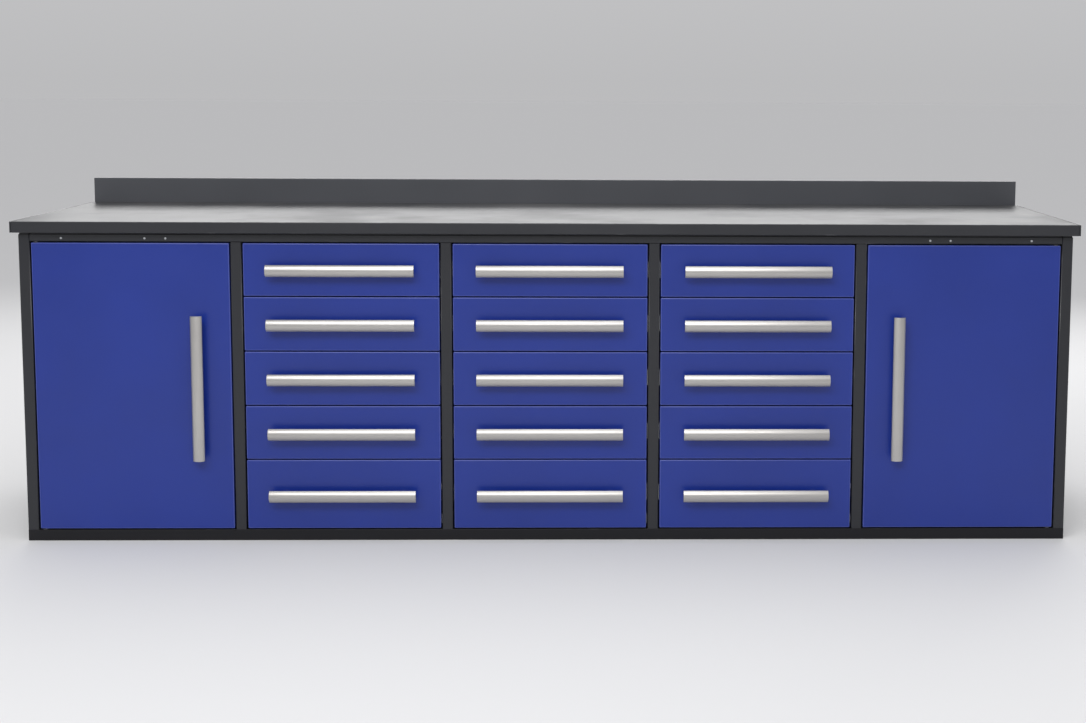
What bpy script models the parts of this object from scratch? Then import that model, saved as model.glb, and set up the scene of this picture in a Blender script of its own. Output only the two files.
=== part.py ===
"""Sheet-steel workbench with fifteen drawers, two cupboards, a flat top and a low backsplash.

Five equal bays stand side by side under one long worktop: a cupboard at each end and three
columns of five drawers between them. X runs along the bench, +Y towards the wall, +Z up.
The origin is the middle of the bench's box, on the floor. Lengths are in metres.
"""
from math import asin, cos, radians, sin

import bmesh
import bpy
from mathutils import Matrix, Vector

# ---------------------------------------------------------------- driving dimensions
GAP = 0.0003                    # left between two pieces that touch

FRONT_WIDTH = 0.523             # every drawer front and both doors
FRONT_THICKNESS = 0.018
FRONT_GAP = 0.003               # dark line all round a front
TOP_DRAWER = 0.142              # heights of the drawer fronts
MIDDLE_DRAWER = 0.1455
BOTTOM_DRAWER = 0.1895
DRAWER_HEIGHTS = (TOP_DRAWER, MIDDLE_DRAWER, MIDDLE_DRAWER, MIDDLE_DRAWER, BOTTOM_DRAWER)

CARCASS_DEPTH = 0.625           # frame front to the outside of the back panel
CARCASS_SHEET = 0.0012
POST = 0.030                    # width and depth of a front post
POST_SEAM = 0.0005              # slit where a post's fold meets its own panel
REAR_FLANGE = 0.025
BASE_HEIGHT = 0.030
BASE_SHEET = 0.0015
RAIL_HEIGHT = 0.025

WORKTOP_THICKNESS = 0.030
WORKTOP_SHEET = 0.0015
WORKTOP_FRONT_OVERHANG = 0.020
WORKTOP_END_OVERHANG = 0.0145
WORKTOP_BOLT_RADIUS = 0.004

BACKSPLASH_RISE = 0.074
BACKSPLASH_DROP = 0.055
BACKSPLASH_THICKNESS = 0.018
BACKSPLASH_END_INSET = 0.006
BACKSPLASH_SCREW_RADIUS = 0.0025

SHELF_EDGE = 0.025
SHELF_SETBACK = 0.050           # shelf's front edge behind the frame front

TRAY_SHEET = 0.001
TRAY_FLOOR_RISE = 0.012         # tray floor above the lower edge of its front
TRAY_TOP_DROP = 0.030           # tray rim below the upper edge of its front
TRAY_REAR_ROOM = 0.050          # tray end to the outside of the back panel

SLIDE_DEPTH = 0.0127            # both members together, between panel and tray
SLIDE_HEIGHT = 0.045
SLIDE_LIP = 0.004
SLIDE_SHEET = 0.0012
SLIDE_RUNNING = 0.002           # play between the inner member and the outer lips
SLIDE_FRONT_ROOM = 0.003        # behind the drawer's front
SLIDE_REAR_ROOM = 0.010         # before the tray's end
WELD_DEPTH = 0.0006             # how far a welded piece sinks into its neighbour

HANDLE_FOOT_SPACING = 0.320
HANDLE_END_REACH = 0.037        # bar past the middle of its foot
HANDLE_HEIGHT = 0.032
HANDLE_PROJECTION = 0.035
HANDLE_EDGE = 0.004             # bar thickness at its long edges
HANDLE_CROWN = 0.006            # how far the bar's face bulges past its edges
HANDLE_ARC_STEPS = 8
HANDLE_FOOT_RADIUS = 0.008
HANDLE_SCREW_RADIUS = 0.0025
DOOR_HANDLE_INSET = 0.085       # door's free edge to the middle of its handle

PIVOT_RADIUS = 0.004
PIVOT_COLLAR_RADIUS = 0.008
PIVOT_REACH = 0.015             # into the door, and into the frame
PIVOT_TIP = 0.001
PIVOT_INSET = 0.012             # axis from the door's hinge edge
PIVOT_WALL_ROOM = 0.002         # between the pin and the base's front wall

CATCH_WIDTH = 0.052
CATCH_DEPTH = 0.030
CATCH_HEIGHT = 0.014
CATCH_EDGE_DISTANCE = 0.195     # door's free edge to the middle of the catch
CATCH_POLE_WIDTH = 0.036
CATCH_POLE_THICKNESS = 0.003
CATCH_POLE_STEP = 0.002         # how far the poles stand in front of the housing
CATCH_POLE_HEIGHTS = (0.3, 0.7) # as shares of the housing's height

PIN_SIDES = 16
FOOT_SIDES = 12
BORE_SIDES = 8                  # screw and bolt holes
ROUND_ANGLE = 40                # degrees; gentler edges are shaded smooth

# ---------------------------------------------------------------- what follows from them
OPENING_WIDTH = FRONT_WIDTH + 2 * FRONT_GAP
STACK_HEIGHT = sum(DRAWER_HEIGHTS) + (len(DRAWER_HEIGHTS) - 1) * FRONT_GAP
OPENING_HEIGHT = STACK_HEIGHT + 2 * FRONT_GAP
BAY_PITCH = OPENING_WIDTH + POST
BAYS = ("left_door", "left_drawer", "middle_drawer", "right_drawer", "right_door")
BAY_CENTRES = [(index - (len(BAYS) - 1) / 2) * BAY_PITCH for index in range(len(BAYS))]
BODY_WIDTH = len(BAYS) * OPENING_WIDTH + (len(BAYS) + 1) * POST

OPENING_TOP = BASE_HEIGHT + OPENING_HEIGHT
WORKTOP_BOTTOM = OPENING_TOP + RAIL_HEIGHT
WORKTOP_TOP = WORKTOP_BOTTOM + WORKTOP_THICKNESS
WORKTOP_LENGTH = BODY_WIDTH + 2 * WORKTOP_END_OVERHANG
INNER_REAR = CARCASS_DEPTH - CARCASS_SHEET - GAP

TRAY_START = FRONT_THICKNESS - WELD_DEPTH
TRAY_END = CARCASS_DEPTH - TRAY_REAR_ROOM
RUNNER_FACE = OPENING_WIDTH / 2 - CARCASS_SHEET
TRAY_HALF_WIDTH = RUNNER_FACE - SLIDE_DEPTH - GAP
SLIDE_START = FRONT_THICKNESS + SLIDE_FRONT_ROOM
SLIDE_END = TRAY_END - SLIDE_REAR_ROOM
INNER_SLIDE_HALF_HEIGHT = SLIDE_HEIGHT / 2 - SLIDE_LIP - SLIDE_RUNNING

HANDLE_LENGTH = HANDLE_FOOT_SPACING + 2 * HANDLE_END_REACH
PIVOT_SETBACK = BASE_SHEET + PIVOT_WALL_ROOM + PIVOT_RADIUS
TOTAL_DEPTH = HANDLE_PROJECTION + CARCASS_DEPTH + GAP + BACKSPLASH_THICKNESS
FRAME_FRONT_Y = HANDLE_PROJECTION - TOTAL_DEPTH / 2


# ---------------------------------------------------------------- scene and finishes
def clear_scene():
    """Remove whatever the file holds before the bench is made."""
    for item in list(bpy.data.objects):
        bpy.data.objects.remove(item, do_unlink=True)


def make_collection(name):
    """Add an empty collection to the scene."""
    collection = bpy.data.collections.new(name)
    bpy.context.scene.collection.children.link(collection)
    return collection


def make_finish(name, colour, roughness, metallic):
    """Make a plain Principled material."""
    material = bpy.data.materials.new(name)
    material.use_nodes = True
    shader = material.node_tree.nodes["Principled BSDF"]
    shader.inputs["Base Color"].default_value = (*colour, 1.0)
    shader.inputs["Roughness"].default_value = roughness
    shader.inputs["Metallic"].default_value = metallic
    return material


clear_scene()
PARTS = make_collection("workbench")
CUTTERS = make_collection("workbench_cutters")
CHARCOAL = make_finish("charcoal_powder_coat", (0.052, 0.053, 0.060), 0.42, 0.0)
BLUE = make_finish("blue_powder_coat", (0.040, 0.060, 0.265), 0.38, 0.0)
ALUMINIUM = make_finish("brushed_aluminium", (0.62, 0.61, 0.61), 0.30, 1.0)
ZINC = make_finish("zinc_plate", (0.48, 0.49, 0.50), 0.35, 1.0)
BLACK = make_finish("black_plastic", (0.02, 0.02, 0.02), 0.50, 0.0)


def make_anchor(name, place, parent=None):
    """Make an empty that other pieces are placed from."""
    anchor = bpy.data.objects.new(name, None)
    anchor.location = place
    anchor.parent = parent
    PARTS.objects.link(anchor)
    return anchor


BENCH = make_anchor("bench_frame_front", (0, FRAME_FRONT_Y, 0))


# ---------------------------------------------------------------- shape helpers
def add_object(name, mesh, collection=CUTTERS):
    """Put a mesh in the scene; it waits among the cutters until it is finished."""
    item = bpy.data.objects.new(name, mesh)
    collection.objects.link(item)
    if collection is CUTTERS:
        item.hide_render = True
        item.display_type = "WIRE"
    return item


def block(name, low, high):
    """A rectangular block between two corners."""
    low = Vector(low)
    high = Vector(high)
    shape = bmesh.new()
    bmesh.ops.create_cube(shape, size=1.0)
    bmesh.ops.scale(shape, vec=high - low, verts=shape.verts)
    bmesh.ops.translate(shape, vec=(low + high) / 2, verts=shape.verts)
    mesh = bpy.data.meshes.new(name)
    shape.to_mesh(mesh)
    shape.free()
    return add_object(name, mesh)


def cylinder(name, centre, radius, length, axis="Z", sides=BORE_SIDES):
    """A capped cylinder about a centre, along one axis."""
    turns = {"X": Matrix.Rotation(radians(90), 3, "Y"), "Y": Matrix.Rotation(radians(90), 3, "X")}
    shape = bmesh.new()
    bmesh.ops.create_cone(
        shape, cap_ends=True, segments=sides, radius1=radius, radius2=radius, depth=length)
    if axis in turns:
        bmesh.ops.rotate(shape, verts=shape.verts, cent=(0, 0, 0), matrix=turns[axis])
    bmesh.ops.translate(shape, vec=centre, verts=shape.verts)
    mesh = bpy.data.meshes.new(name)
    shape.to_mesh(mesh)
    shape.free()
    return add_object(name, mesh)


def folded_sheet(name, fold_line, run, thickness):
    """A bent sheet: a fold line swept straight along run, with its wall on the line's left.

    The left side is the one on the left hand when walking along the line with run pointing up.
    """
    shape = bmesh.new()
    corners = [shape.verts.new(point) for point in fold_line]
    edges = [shape.edges.new(pair) for pair in zip(corners, corners[1:])]
    swept = bmesh.ops.extrude_edge_only(shape, edges=edges)["geom"]
    moved = [item for item in swept if isinstance(item, bmesh.types.BMVert)]
    bmesh.ops.translate(shape, vec=run, verts=moved)
    first = Vector(fold_line[1]) - Vector(fold_line[0])
    leftwards = Vector(run).cross(first)
    shape.normal_update()
    faces = list(shape.faces)
    start_face = corners[0].link_faces[0]
    if start_face.normal.dot(leftwards) < 0:
        bmesh.ops.reverse_faces(shape, faces=faces)
    mesh = bpy.data.meshes.new(name)
    shape.to_mesh(mesh)
    shape.free()
    item = add_object(name, mesh)
    wall = item.modifiers.new("sheet", "SOLIDIFY")
    wall.thickness = thickness
    wall.offset = 1.0
    wall.use_even_offset = True
    return item


def open_box(name, low, high, wall_thickness, open_side):
    """A box of sheet with one side missing, top or bottom, its wall inside the two corners."""
    item = block(name, low, high)
    shape = bmesh.new()
    shape.from_mesh(item.data)
    shape.normal_update()
    gone = [face for face in shape.faces if face.normal.z * open_side > 0.5]
    bmesh.ops.delete(shape, geom=gone, context="FACES_ONLY")
    shape.to_mesh(item.data)
    shape.free()
    wall = item.modifiers.new("sheet", "SOLIDIFY")
    wall.thickness = wall_thickness
    wall.offset = -1.0
    wall.use_even_offset = True
    return item


def bake(item):
    """Swap an object's mesh for the one its modifiers give."""
    bpy.context.view_layer.update()
    graph = bpy.context.evaluated_depsgraph_get()
    baked = bpy.data.meshes.new_from_object(item.evaluated_get(graph))
    item.modifiers.clear()
    item.data = baked


def combine(item, operation, others):
    """Join the others to an object, or cut them out of it, and remove them."""
    for other in others:
        step = item.modifiers.new(other.name, "BOOLEAN")
        step.operation = operation
        step.solver = "EXACT"
        step.object = other
    bake(item)
    for other in others:
        bpy.data.objects.remove(other, do_unlink=True)
    return item


def hollow_block(name, low, high, wall_thickness):
    """A closed casing of sheet; whoever makes it also bores a hole into it."""
    inset = Vector((wall_thickness, wall_thickness, wall_thickness))
    hollow = block(name + "_hollow", Vector(low) + inset, Vector(high) - inset)
    return combine(block(name, low, high), "DIFFERENCE", [hollow])


def finish_piece(item, finish, parent=BENCH, place=(0, 0, 0), round_angle=None):
    """Move a shape from the cutters to the bench, with its material, place and shading."""
    CUTTERS.objects.unlink(item)
    PARTS.objects.link(item)
    item.hide_render = False
    item.display_type = "TEXTURED"
    item.data.materials.clear()
    item.data.materials.append(finish)
    item.parent = parent
    item.location = place
    if round_angle is not None:
        item.data.shade_smooth()
        item.data.set_sharp_from_angle(angle=radians(round_angle))
    return item


def copy_piece(original, name, parent, place=(0, 0, 0), turn=0.0):
    """Another of the same piece, with the same mesh."""
    twin = bpy.data.objects.new(name, original.data)
    PARTS.objects.link(twin)
    twin.parent = parent
    twin.location = place
    twin.rotation_euler = (0, turn, 0)
    return twin


# ---------------------------------------------------------------- carcass
def base_frame():
    """Closed sheet platform that the whole bench stands on, bored for the lower door pivots."""
    half = BODY_WIDTH / 2
    item = hollow_block("base_frame", (-half, 0, 0), (half, CARCASS_DEPTH, BASE_HEIGHT), BASE_SHEET)
    bores = [
        cylinder("bore", (x, PIVOT_SETBACK, BASE_HEIGHT), PIVOT_RADIUS + GAP, 4 * BASE_SHEET,
                 sides=PIN_SIDES)
        for x in PIVOT_X.values()]
    combine(item, "DIFFERENCE", bores)
    finish_piece(item, CHARCOAL)


def top_rail(name, web_y, flange_y, end_room):
    """Channel under the worktop between the end panels, bored for the worktop bolts."""
    half = BODY_WIDTH / 2 - end_room - GAP
    low = OPENING_TOP
    high = WORKTOP_BOTTOM - GAP
    fold = [(-half, flange_y, low), (-half, web_y, low), (-half, web_y, high), (-half, flange_y, high)]
    if flange_y > web_y:
        fold.reverse()
    item = folded_sheet(name, fold, (2 * half, 0, 0), CARCASS_SHEET)
    middle = (web_y + flange_y) / 2
    bores = [
        cylinder("bore", (x, middle, high), WORKTOP_BOLT_RADIUS, 4 * CARCASS_SHEET)
        for x in BAY_CENTRES[::2]]
    return combine(item, "DIFFERENCE", bores)


def top_rails():
    """The two long rails; the front one also holds the upper door pivots."""
    front = top_rail("front_top_rail", 0, POST, POST)
    bores = [
        cylinder("bore", (x, PIVOT_SETBACK, OPENING_TOP), PIVOT_RADIUS + GAP, 4 * CARCASS_SHEET,
                 sides=PIN_SIDES)
        for x in PIVOT_X.values()]
    combine(front, "DIFFERENCE", bores)
    finish_piece(front, CHARCOAL)
    rear = top_rail("rear_top_rail", INNER_REAR, INNER_REAR - POST, REAR_FLANGE)
    finish_piece(rear, CHARCOAL)


def upright_run(top):
    """Upward run of an upright sheet that stands on the base, to just below a height."""
    return (0, 0, top - BASE_HEIGHT - 2 * GAP)


def side_panel(name, side):
    """End wall up to the worktop, with a folded box post in front and a flange at the rear."""
    outer = side * BODY_WIDTH / 2
    inward = -side
    seam = CARCASS_SHEET + POST_SEAM
    bottom = BASE_HEIGHT + GAP
    fold = [
        (outer + inward * seam, POST, bottom),
        (outer + inward * POST, POST, bottom),
        (outer + inward * POST, 0, bottom),
        (outer, 0, bottom),
        (outer, INNER_REAR, bottom),
        (outer + inward * REAR_FLANGE, INNER_REAR, bottom)]
    if side < 0:
        fold.reverse()
    finish_piece(folded_sheet(name, fold, upright_run(WORKTOP_BOTTOM), CARCASS_SHEET), CHARCOAL)


def divider(name, x):
    """Upright sheet between two bays, behind a folded box post, with a flange at the rear."""
    half_post = POST / 2
    half_sheet = CARCASS_SHEET / 2
    bottom = BASE_HEIGHT + GAP
    fold = [
        (x - half_sheet - POST_SEAM, POST, bottom),
        (x - half_post, POST, bottom),
        (x - half_post, 0, bottom),
        (x + half_post, 0, bottom),
        (x + half_post, POST, bottom),
        (x + half_sheet, POST, bottom),
        (x + half_sheet, INNER_REAR, bottom),
        (x + half_sheet - REAR_FLANGE, INNER_REAR, bottom)]
    finish_piece(folded_sheet(name, fold, upright_run(OPENING_TOP), CARCASS_SHEET), CHARCOAL)


def backsplash_screw_places():
    """Where the backsplash is screwed to the back panel."""
    height = WORKTOP_BOTTOM - BACKSPLASH_DROP / 2
    return [(x, CARCASS_DEPTH, height) for x in BAY_CENTRES]


def back_panel():
    """One flat sheet closing the rear, bored for the backsplash screws."""
    half = BODY_WIDTH / 2
    item = block(
        "back_panel", (-half, CARCASS_DEPTH - CARCASS_SHEET, BASE_HEIGHT + GAP),
        (half, CARCASS_DEPTH, WORKTOP_BOTTOM - GAP))
    bores = [
        cylinder("bore", place, BACKSPLASH_SCREW_RADIUS, 4 * CARCASS_SHEET, "Y")
        for place in backsplash_screw_places()]
    combine(item, "DIFFERENCE", bores)
    finish_piece(item, CHARCOAL)


def backsplash():
    """Low upright casing behind the worktop, hung on the back panel."""
    half = WORKTOP_LENGTH / 2 - BACKSPLASH_END_INSET
    front = CARCASS_DEPTH + GAP
    item = hollow_block(
        "backsplash", (-half, front, WORKTOP_BOTTOM - BACKSPLASH_DROP),
        (half, front + BACKSPLASH_THICKNESS, WORKTOP_TOP + BACKSPLASH_RISE), CARCASS_SHEET)
    bores = [
        cylinder("bore", place, BACKSPLASH_SCREW_RADIUS, 4 * CARCASS_SHEET, "Y")
        for place in backsplash_screw_places()]
    combine(item, "DIFFERENCE", bores)
    finish_piece(item, CHARCOAL)


def worktop():
    """Long sheet casing that overhangs the carcass, bored underneath for its bolts."""
    half = WORKTOP_LENGTH / 2
    item = hollow_block(
        "worktop", (-half, -WORKTOP_FRONT_OVERHANG, WORKTOP_BOTTOM),
        (half, CARCASS_DEPTH, WORKTOP_TOP), WORKTOP_SHEET)
    bores = [
        cylinder("bore", (x, y, WORKTOP_BOTTOM), WORKTOP_BOLT_RADIUS, 4 * WORKTOP_SHEET)
        for x in BAY_CENTRES[::2] for y in (POST / 2, INNER_REAR - POST / 2)]
    combine(item, "DIFFERENCE", bores)
    finish_piece(item, CHARCOAL)


def shelf(name, left, right):
    """Fixed shelf, a sheet with all four edges folded down, halfway up a cupboard."""
    top = BASE_HEIGHT + OPENING_HEIGHT / 2
    item = open_box(
        name, (left + GAP, SHELF_SETBACK, top - SHELF_EDGE),
        (right - GAP, INNER_REAR - CARCASS_SHEET - GAP, top), CARCASS_SHEET, open_side=-1)
    finish_piece(item, CHARCOAL)


def shelves():
    """One shelf in each cupboard, from the end wall to the nearest divider."""
    wall = BODY_WIDTH / 2 - CARCASS_SHEET
    divider_x = BAY_CENTRES[-1] - BAY_PITCH / 2 + CARCASS_SHEET / 2
    shelf("left_shelf", -wall, -divider_x)
    shelf("right_shelf", divider_x, wall)


# ---------------------------------------------------------------- drawers
def front_bottoms():
    """Height of each drawer front's lower edge, from the top drawer down."""
    bottoms = []
    edge = OPENING_TOP
    for height in DRAWER_HEIGHTS:
        edge -= FRONT_GAP + height
        bottoms.append(edge)
    return bottoms


def outer_slide(name, side, height):
    """Outer slide member, a lipped channel on the runner panel's face."""
    face = side * RUNNER_FACE
    web = side * (RUNNER_FACE + WELD_DEPTH)
    tip = side * (TRAY_HALF_WIDTH + SLIDE_RUNNING / 2)
    half = SLIDE_HEIGHT / 2
    fold = [
        (tip, SLIDE_START, height + half - SLIDE_LIP),
        (tip, SLIDE_START, height + half),
        (web, SLIDE_START, height + half),
        (web, SLIDE_START, height - half),
        (tip, SLIDE_START, height - half),
        (tip, SLIDE_START, height - half + SLIDE_LIP)]
    if side < 0:
        fold.reverse()
    return folded_sheet(name, fold, (0, SLIDE_END - SLIDE_START, 0), SLIDE_SHEET)


def inner_slide(name, side, height):
    """Inner slide member, a plain channel on the tray's side wall."""
    web = side * (TRAY_HALF_WIDTH - WELD_DEPTH)
    tip = side * (RUNNER_FACE - SLIDE_LIP)
    half = INNER_SLIDE_HALF_HEIGHT
    fold = [
        (tip, SLIDE_START, height - half),
        (web, SLIDE_START, height - half),
        (web, SLIDE_START, height + half),
        (tip, SLIDE_START, height + half)]
    if side < 0:
        fold.reverse()
    return folded_sheet(name, fold, (0, SLIDE_END - SLIDE_START, 0), SLIDE_SHEET)


def runner_panel(name, side, place):
    """Carrier sheet behind a post, with the column's five outer slide members on it."""
    face = side * RUNNER_FACE
    foot = side * (OPENING_WIDTH / 2 + POST / 2 - CARCASS_SHEET / 2 - GAP)
    bottom = BASE_HEIGHT + GAP
    fold = [
        (foot, POST + GAP, bottom), (face, POST + GAP, bottom),
        (face, TRAY_END, bottom), (foot, TRAY_END, bottom)]
    if side > 0:
        fold.reverse()
    item = folded_sheet(name, fold, upright_run(OPENING_TOP), CARCASS_SHEET)
    slides = [
        outer_slide("outer_slide", side, bottom_edge + height / 2)
        for bottom_edge, height in zip(front_bottoms(), DRAWER_HEIGHTS)]
    combine(item, "UNION", slides)
    finish_piece(item, ZINC, place=place)


def drawer_box(name, height):
    """Folded front, tray and inner slide members as one welded drawer.

    Its own origin is the middle of the front's face.
    """
    half_height = height / 2
    half_width = FRONT_WIDTH / 2
    item = hollow_block(
        name, (-half_width, 0, -half_height), (half_width, FRONT_THICKNESS, half_height), TRAY_SHEET)
    tray = open_box(
        "tray", (-TRAY_HALF_WIDTH, TRAY_START, TRAY_FLOOR_RISE - half_height),
        (TRAY_HALF_WIDTH, TRAY_END, half_height - TRAY_TOP_DROP), TRAY_SHEET, open_side=1)
    slides = [inner_slide("inner_slide", side, 0) for side in (-1, 1)]
    combine(item, "UNION", [tray] + slides)
    return combine(item, "DIFFERENCE", handle_screw_bores("X"))


def handle_screw_bores(axis, centre_x=0.0):
    """Cutters for a handle's two screws, right through a front."""
    reach = HANDLE_FOOT_SPACING / 2
    places = [(centre_x + side * reach, 0, 0) if axis == "X" else (centre_x, 0, side * reach)
              for side in (-1, 1)]
    return [
        cylinder("bore", place, HANDLE_SCREW_RADIUS, 4 * FRONT_THICKNESS, "Y")
        for place in places]


def bar_handle(name):
    """Bar with a crowned face on two round feet; its origin is on the front's face."""
    half = HANDLE_HEIGHT / 2
    radius = (half ** 2 + HANDLE_CROWN ** 2) / (2 * HANDLE_CROWN)
    sweep = asin(half / radius)
    back = HANDLE_CROWN + HANDLE_EDGE - HANDLE_PROJECTION
    centre = radius - HANDLE_PROJECTION
    outline = [(back, half), (back, -half)]
    for step in range(HANDLE_ARC_STEPS + 1):
        angle = -sweep + 2 * sweep * step / HANDLE_ARC_STEPS
        outline.append((centre - radius * cos(angle), radius * sin(angle)))
    curve = bpy.data.curves.new(name, "CURVE")
    curve.dimensions = "2D"
    curve.fill_mode = "BOTH"
    curve.extrude = HANDLE_LENGTH / 2
    spline = curve.splines.new("POLY")
    spline.points.add(len(outline) - 1)
    for point, (y, z) in zip(spline.points, outline):
        point.co = (y, z, 0, 1)
    spline.use_cyclic_u = True
    guide = add_object(name + "_outline", curve)
    # the outline's own X and Y become the bench's Y and Z, so its thickness lies along X
    guide.matrix_world = Matrix(((0, 0, 1, 0), (1, 0, 0, 0), (0, 1, 0, 0), (0, 0, 0, 1)))
    bpy.context.view_layer.update()
    graph = bpy.context.evaluated_depsgraph_get()
    mesh = bpy.data.meshes.new_from_object(guide.evaluated_get(graph))
    mesh.transform(guide.matrix_world)
    bpy.data.objects.remove(guide, do_unlink=True)
    shape = bmesh.new()
    shape.from_mesh(mesh)
    bmesh.ops.remove_doubles(shape, verts=shape.verts, dist=0.00001)
    bmesh.ops.recalc_face_normals(shape, faces=shape.faces)
    shape.to_mesh(mesh)
    shape.free()
    item = add_object(name, mesh)
    foot_end = back - HANDLE_EDGE / 2
    foot_middle = (foot_end - GAP) / 2
    feet = [
        cylinder("foot", (side * HANDLE_FOOT_SPACING / 2, foot_middle, 0), HANDLE_FOOT_RADIUS,
                 -GAP - foot_end, "Y", FOOT_SIDES)
        for side in (-1, 1)]
    combine(item, "UNION", feet)
    return finish_piece(item, ALUMINIUM, round_angle=ROUND_ANGLE)


def drawers(handle):
    """Three columns of five drawers, each with its handle and its pair of runner panels."""
    masters = {}
    for bay, x in zip(BAYS, BAY_CENTRES):
        if not bay.endswith("drawer"):
            continue
        runner_panel(bay + "_runner_panel_left", -1, (x, 0, 0))
        runner_panel(bay + "_runner_panel_right", 1, (x, 0, 0))
        for number, (bottom, height) in enumerate(zip(front_bottoms(), DRAWER_HEIGHTS), start=1):
            name = f"{bay}_{number}"
            anchor = make_anchor(name + "_slide", (x, 0, bottom + height / 2), BENCH)
            if height in masters:
                copy_piece(masters[height], name, anchor)
            else:
                masters[height] = finish_piece(drawer_box(name, height), BLUE, anchor)
            copy_piece(handle, name + "_handle", anchor)


# ---------------------------------------------------------------- doors
def pivot_positions():
    """X of each door's pivot axis: the outer edge of each end bay."""
    reach = FRONT_WIDTH / 2 - PIVOT_INSET
    return {"left_door": BAY_CENTRES[0] - reach, "right_door": BAY_CENTRES[-1] + reach}


PIVOT_X = pivot_positions()


def pivot_pin(name, x, collar_height):
    """Turned pin with a collar that fills the gap between a door and the frame."""
    half_collar = FRONT_GAP / 2 - GAP
    tip = half_collar + PIVOT_REACH
    upper_half = [
        (0, tip), (PIVOT_RADIUS - PIVOT_TIP, tip), (PIVOT_RADIUS, tip - PIVOT_TIP),
        (PIVOT_RADIUS, half_collar), (PIVOT_COLLAR_RADIUS, half_collar)]
    lower_half = [(radius, -height) for radius, height in reversed(upper_half)]
    shape = bmesh.new()
    corners = [shape.verts.new((radius, 0, z)) for radius, z in upper_half + lower_half]
    for pair in zip(corners, corners[1:]):
        shape.edges.new(pair)
    mesh = bpy.data.meshes.new(name)
    shape.to_mesh(mesh)
    shape.free()
    item = add_object(name, mesh)
    turn = item.modifiers.new("turned", "SCREW")
    turn.axis = "Z"
    turn.angle = radians(360)
    turn.steps = PIN_SIDES
    turn.render_steps = PIN_SIDES
    turn.use_merge_vertices = True
    turn.merge_threshold = 0.00001
    bake(item)
    finish_piece(item, ZINC, place=(x, PIVOT_SETBACK, collar_height), round_angle=ROUND_ANGLE)


def door(name, side, handle):
    """Double-skinned door on its pivot axis, with an upright handle near its free edge."""
    axis_x = PIVOT_X[name]
    middle_z = BASE_HEIGHT + OPENING_HEIGHT / 2
    anchor = make_anchor(name + "_pivot", (axis_x, PIVOT_SETBACK, middle_z), BENCH)
    near = side * PIVOT_INSET
    far = side * (PIVOT_INSET - FRONT_WIDTH)
    half = STACK_HEIGHT / 2
    front = -PIVOT_SETBACK
    item = hollow_block(
        name, (min(near, far), front, -half), (max(near, far), front + FRONT_THICKNESS, half),
        CARCASS_SHEET)
    handle_x = far + side * DOOR_HANDLE_INSET
    bores = [
        cylinder("bore", (0, 0, end * half), PIVOT_RADIUS + GAP, 4 * CARCASS_SHEET,
                 sides=PIN_SIDES)
        for end in (-1, 1)]
    combine(item, "DIFFERENCE", bores + handle_screw_bores("Z", handle_x))
    finish_piece(item, BLUE, anchor)
    copy_piece(handle, name + "_handle", anchor, (handle_x, front, 0), radians(90))
    pivot_pin(name + "_lower_pivot", axis_x, BASE_HEIGHT + FRONT_GAP / 2)
    pivot_pin(name + "_upper_pivot", axis_x, OPENING_TOP - FRONT_GAP / 2)


def door_catch(name, side):
    """Magnetic catch under the front rail, behind the door's free edge."""
    free_edge = PIVOT_X[name] + side * (PIVOT_INSET - FRONT_WIDTH)
    x = free_edge + side * CATCH_EDGE_DISTANCE
    top = OPENING_TOP - GAP
    front = FRONT_THICKNESS + GAP + CATCH_POLE_STEP
    item = block(
        name + "_catch", (x - CATCH_WIDTH / 2, front, top - CATCH_HEIGHT),
        (x + CATCH_WIDTH / 2, front + CATCH_DEPTH, top))
    half_pole = CATCH_POLE_WIDTH / 2
    poles = []
    for share in CATCH_POLE_HEIGHTS:
        middle = top - share * CATCH_HEIGHT
        poles.append(block(
            "pole", (x - half_pole, front - CATCH_POLE_STEP, middle - CATCH_POLE_THICKNESS / 2),
            (x + half_pole, front + CATCH_DEPTH / 2, middle + CATCH_POLE_THICKNESS / 2)))
    finish_piece(combine(item, "UNION", poles), BLACK)


def doors(handle):
    """Both doors, with their pivots and catches."""
    for name, side in (("left_door", -1), ("right_door", 1)):
        door(name, side, handle)
        door_catch(name, side)


# ---------------------------------------------------------------- whole bench
def build():
    """Make every piece of the bench."""
    base_frame()
    top_rails()
    side_panel("left_side_panel", -1)
    side_panel("right_side_panel", 1)
    for number, (left, right) in enumerate(zip(BAY_CENTRES, BAY_CENTRES[1:]), start=1):
        divider(f"divider_{number}", (left + right) / 2)
    back_panel()
    backsplash()
    worktop()
    shelves()
    handle = bar_handle("master_handle")
    drawers(handle)
    doors(handle)
    bpy.data.objects.remove(handle, do_unlink=True)


build()
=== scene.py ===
"""Looks of a sheet-steel workbench: fifteen drawers, two cupboards, a long top, a low backsplash.

Every piece is shaped here in sheet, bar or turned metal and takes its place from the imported
frame. X runs along the bench, +Y towards the wall, +Z up, and all lengths are in metres.
"""

import logging
from dataclasses import dataclass, field
from enum import Enum
from math import cos, pi, radians, sin
from typing import Callable, Iterable, Optional, Sequence, Union

import bmesh
import bpy
from mathutils import Matrix, Vector


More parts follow.
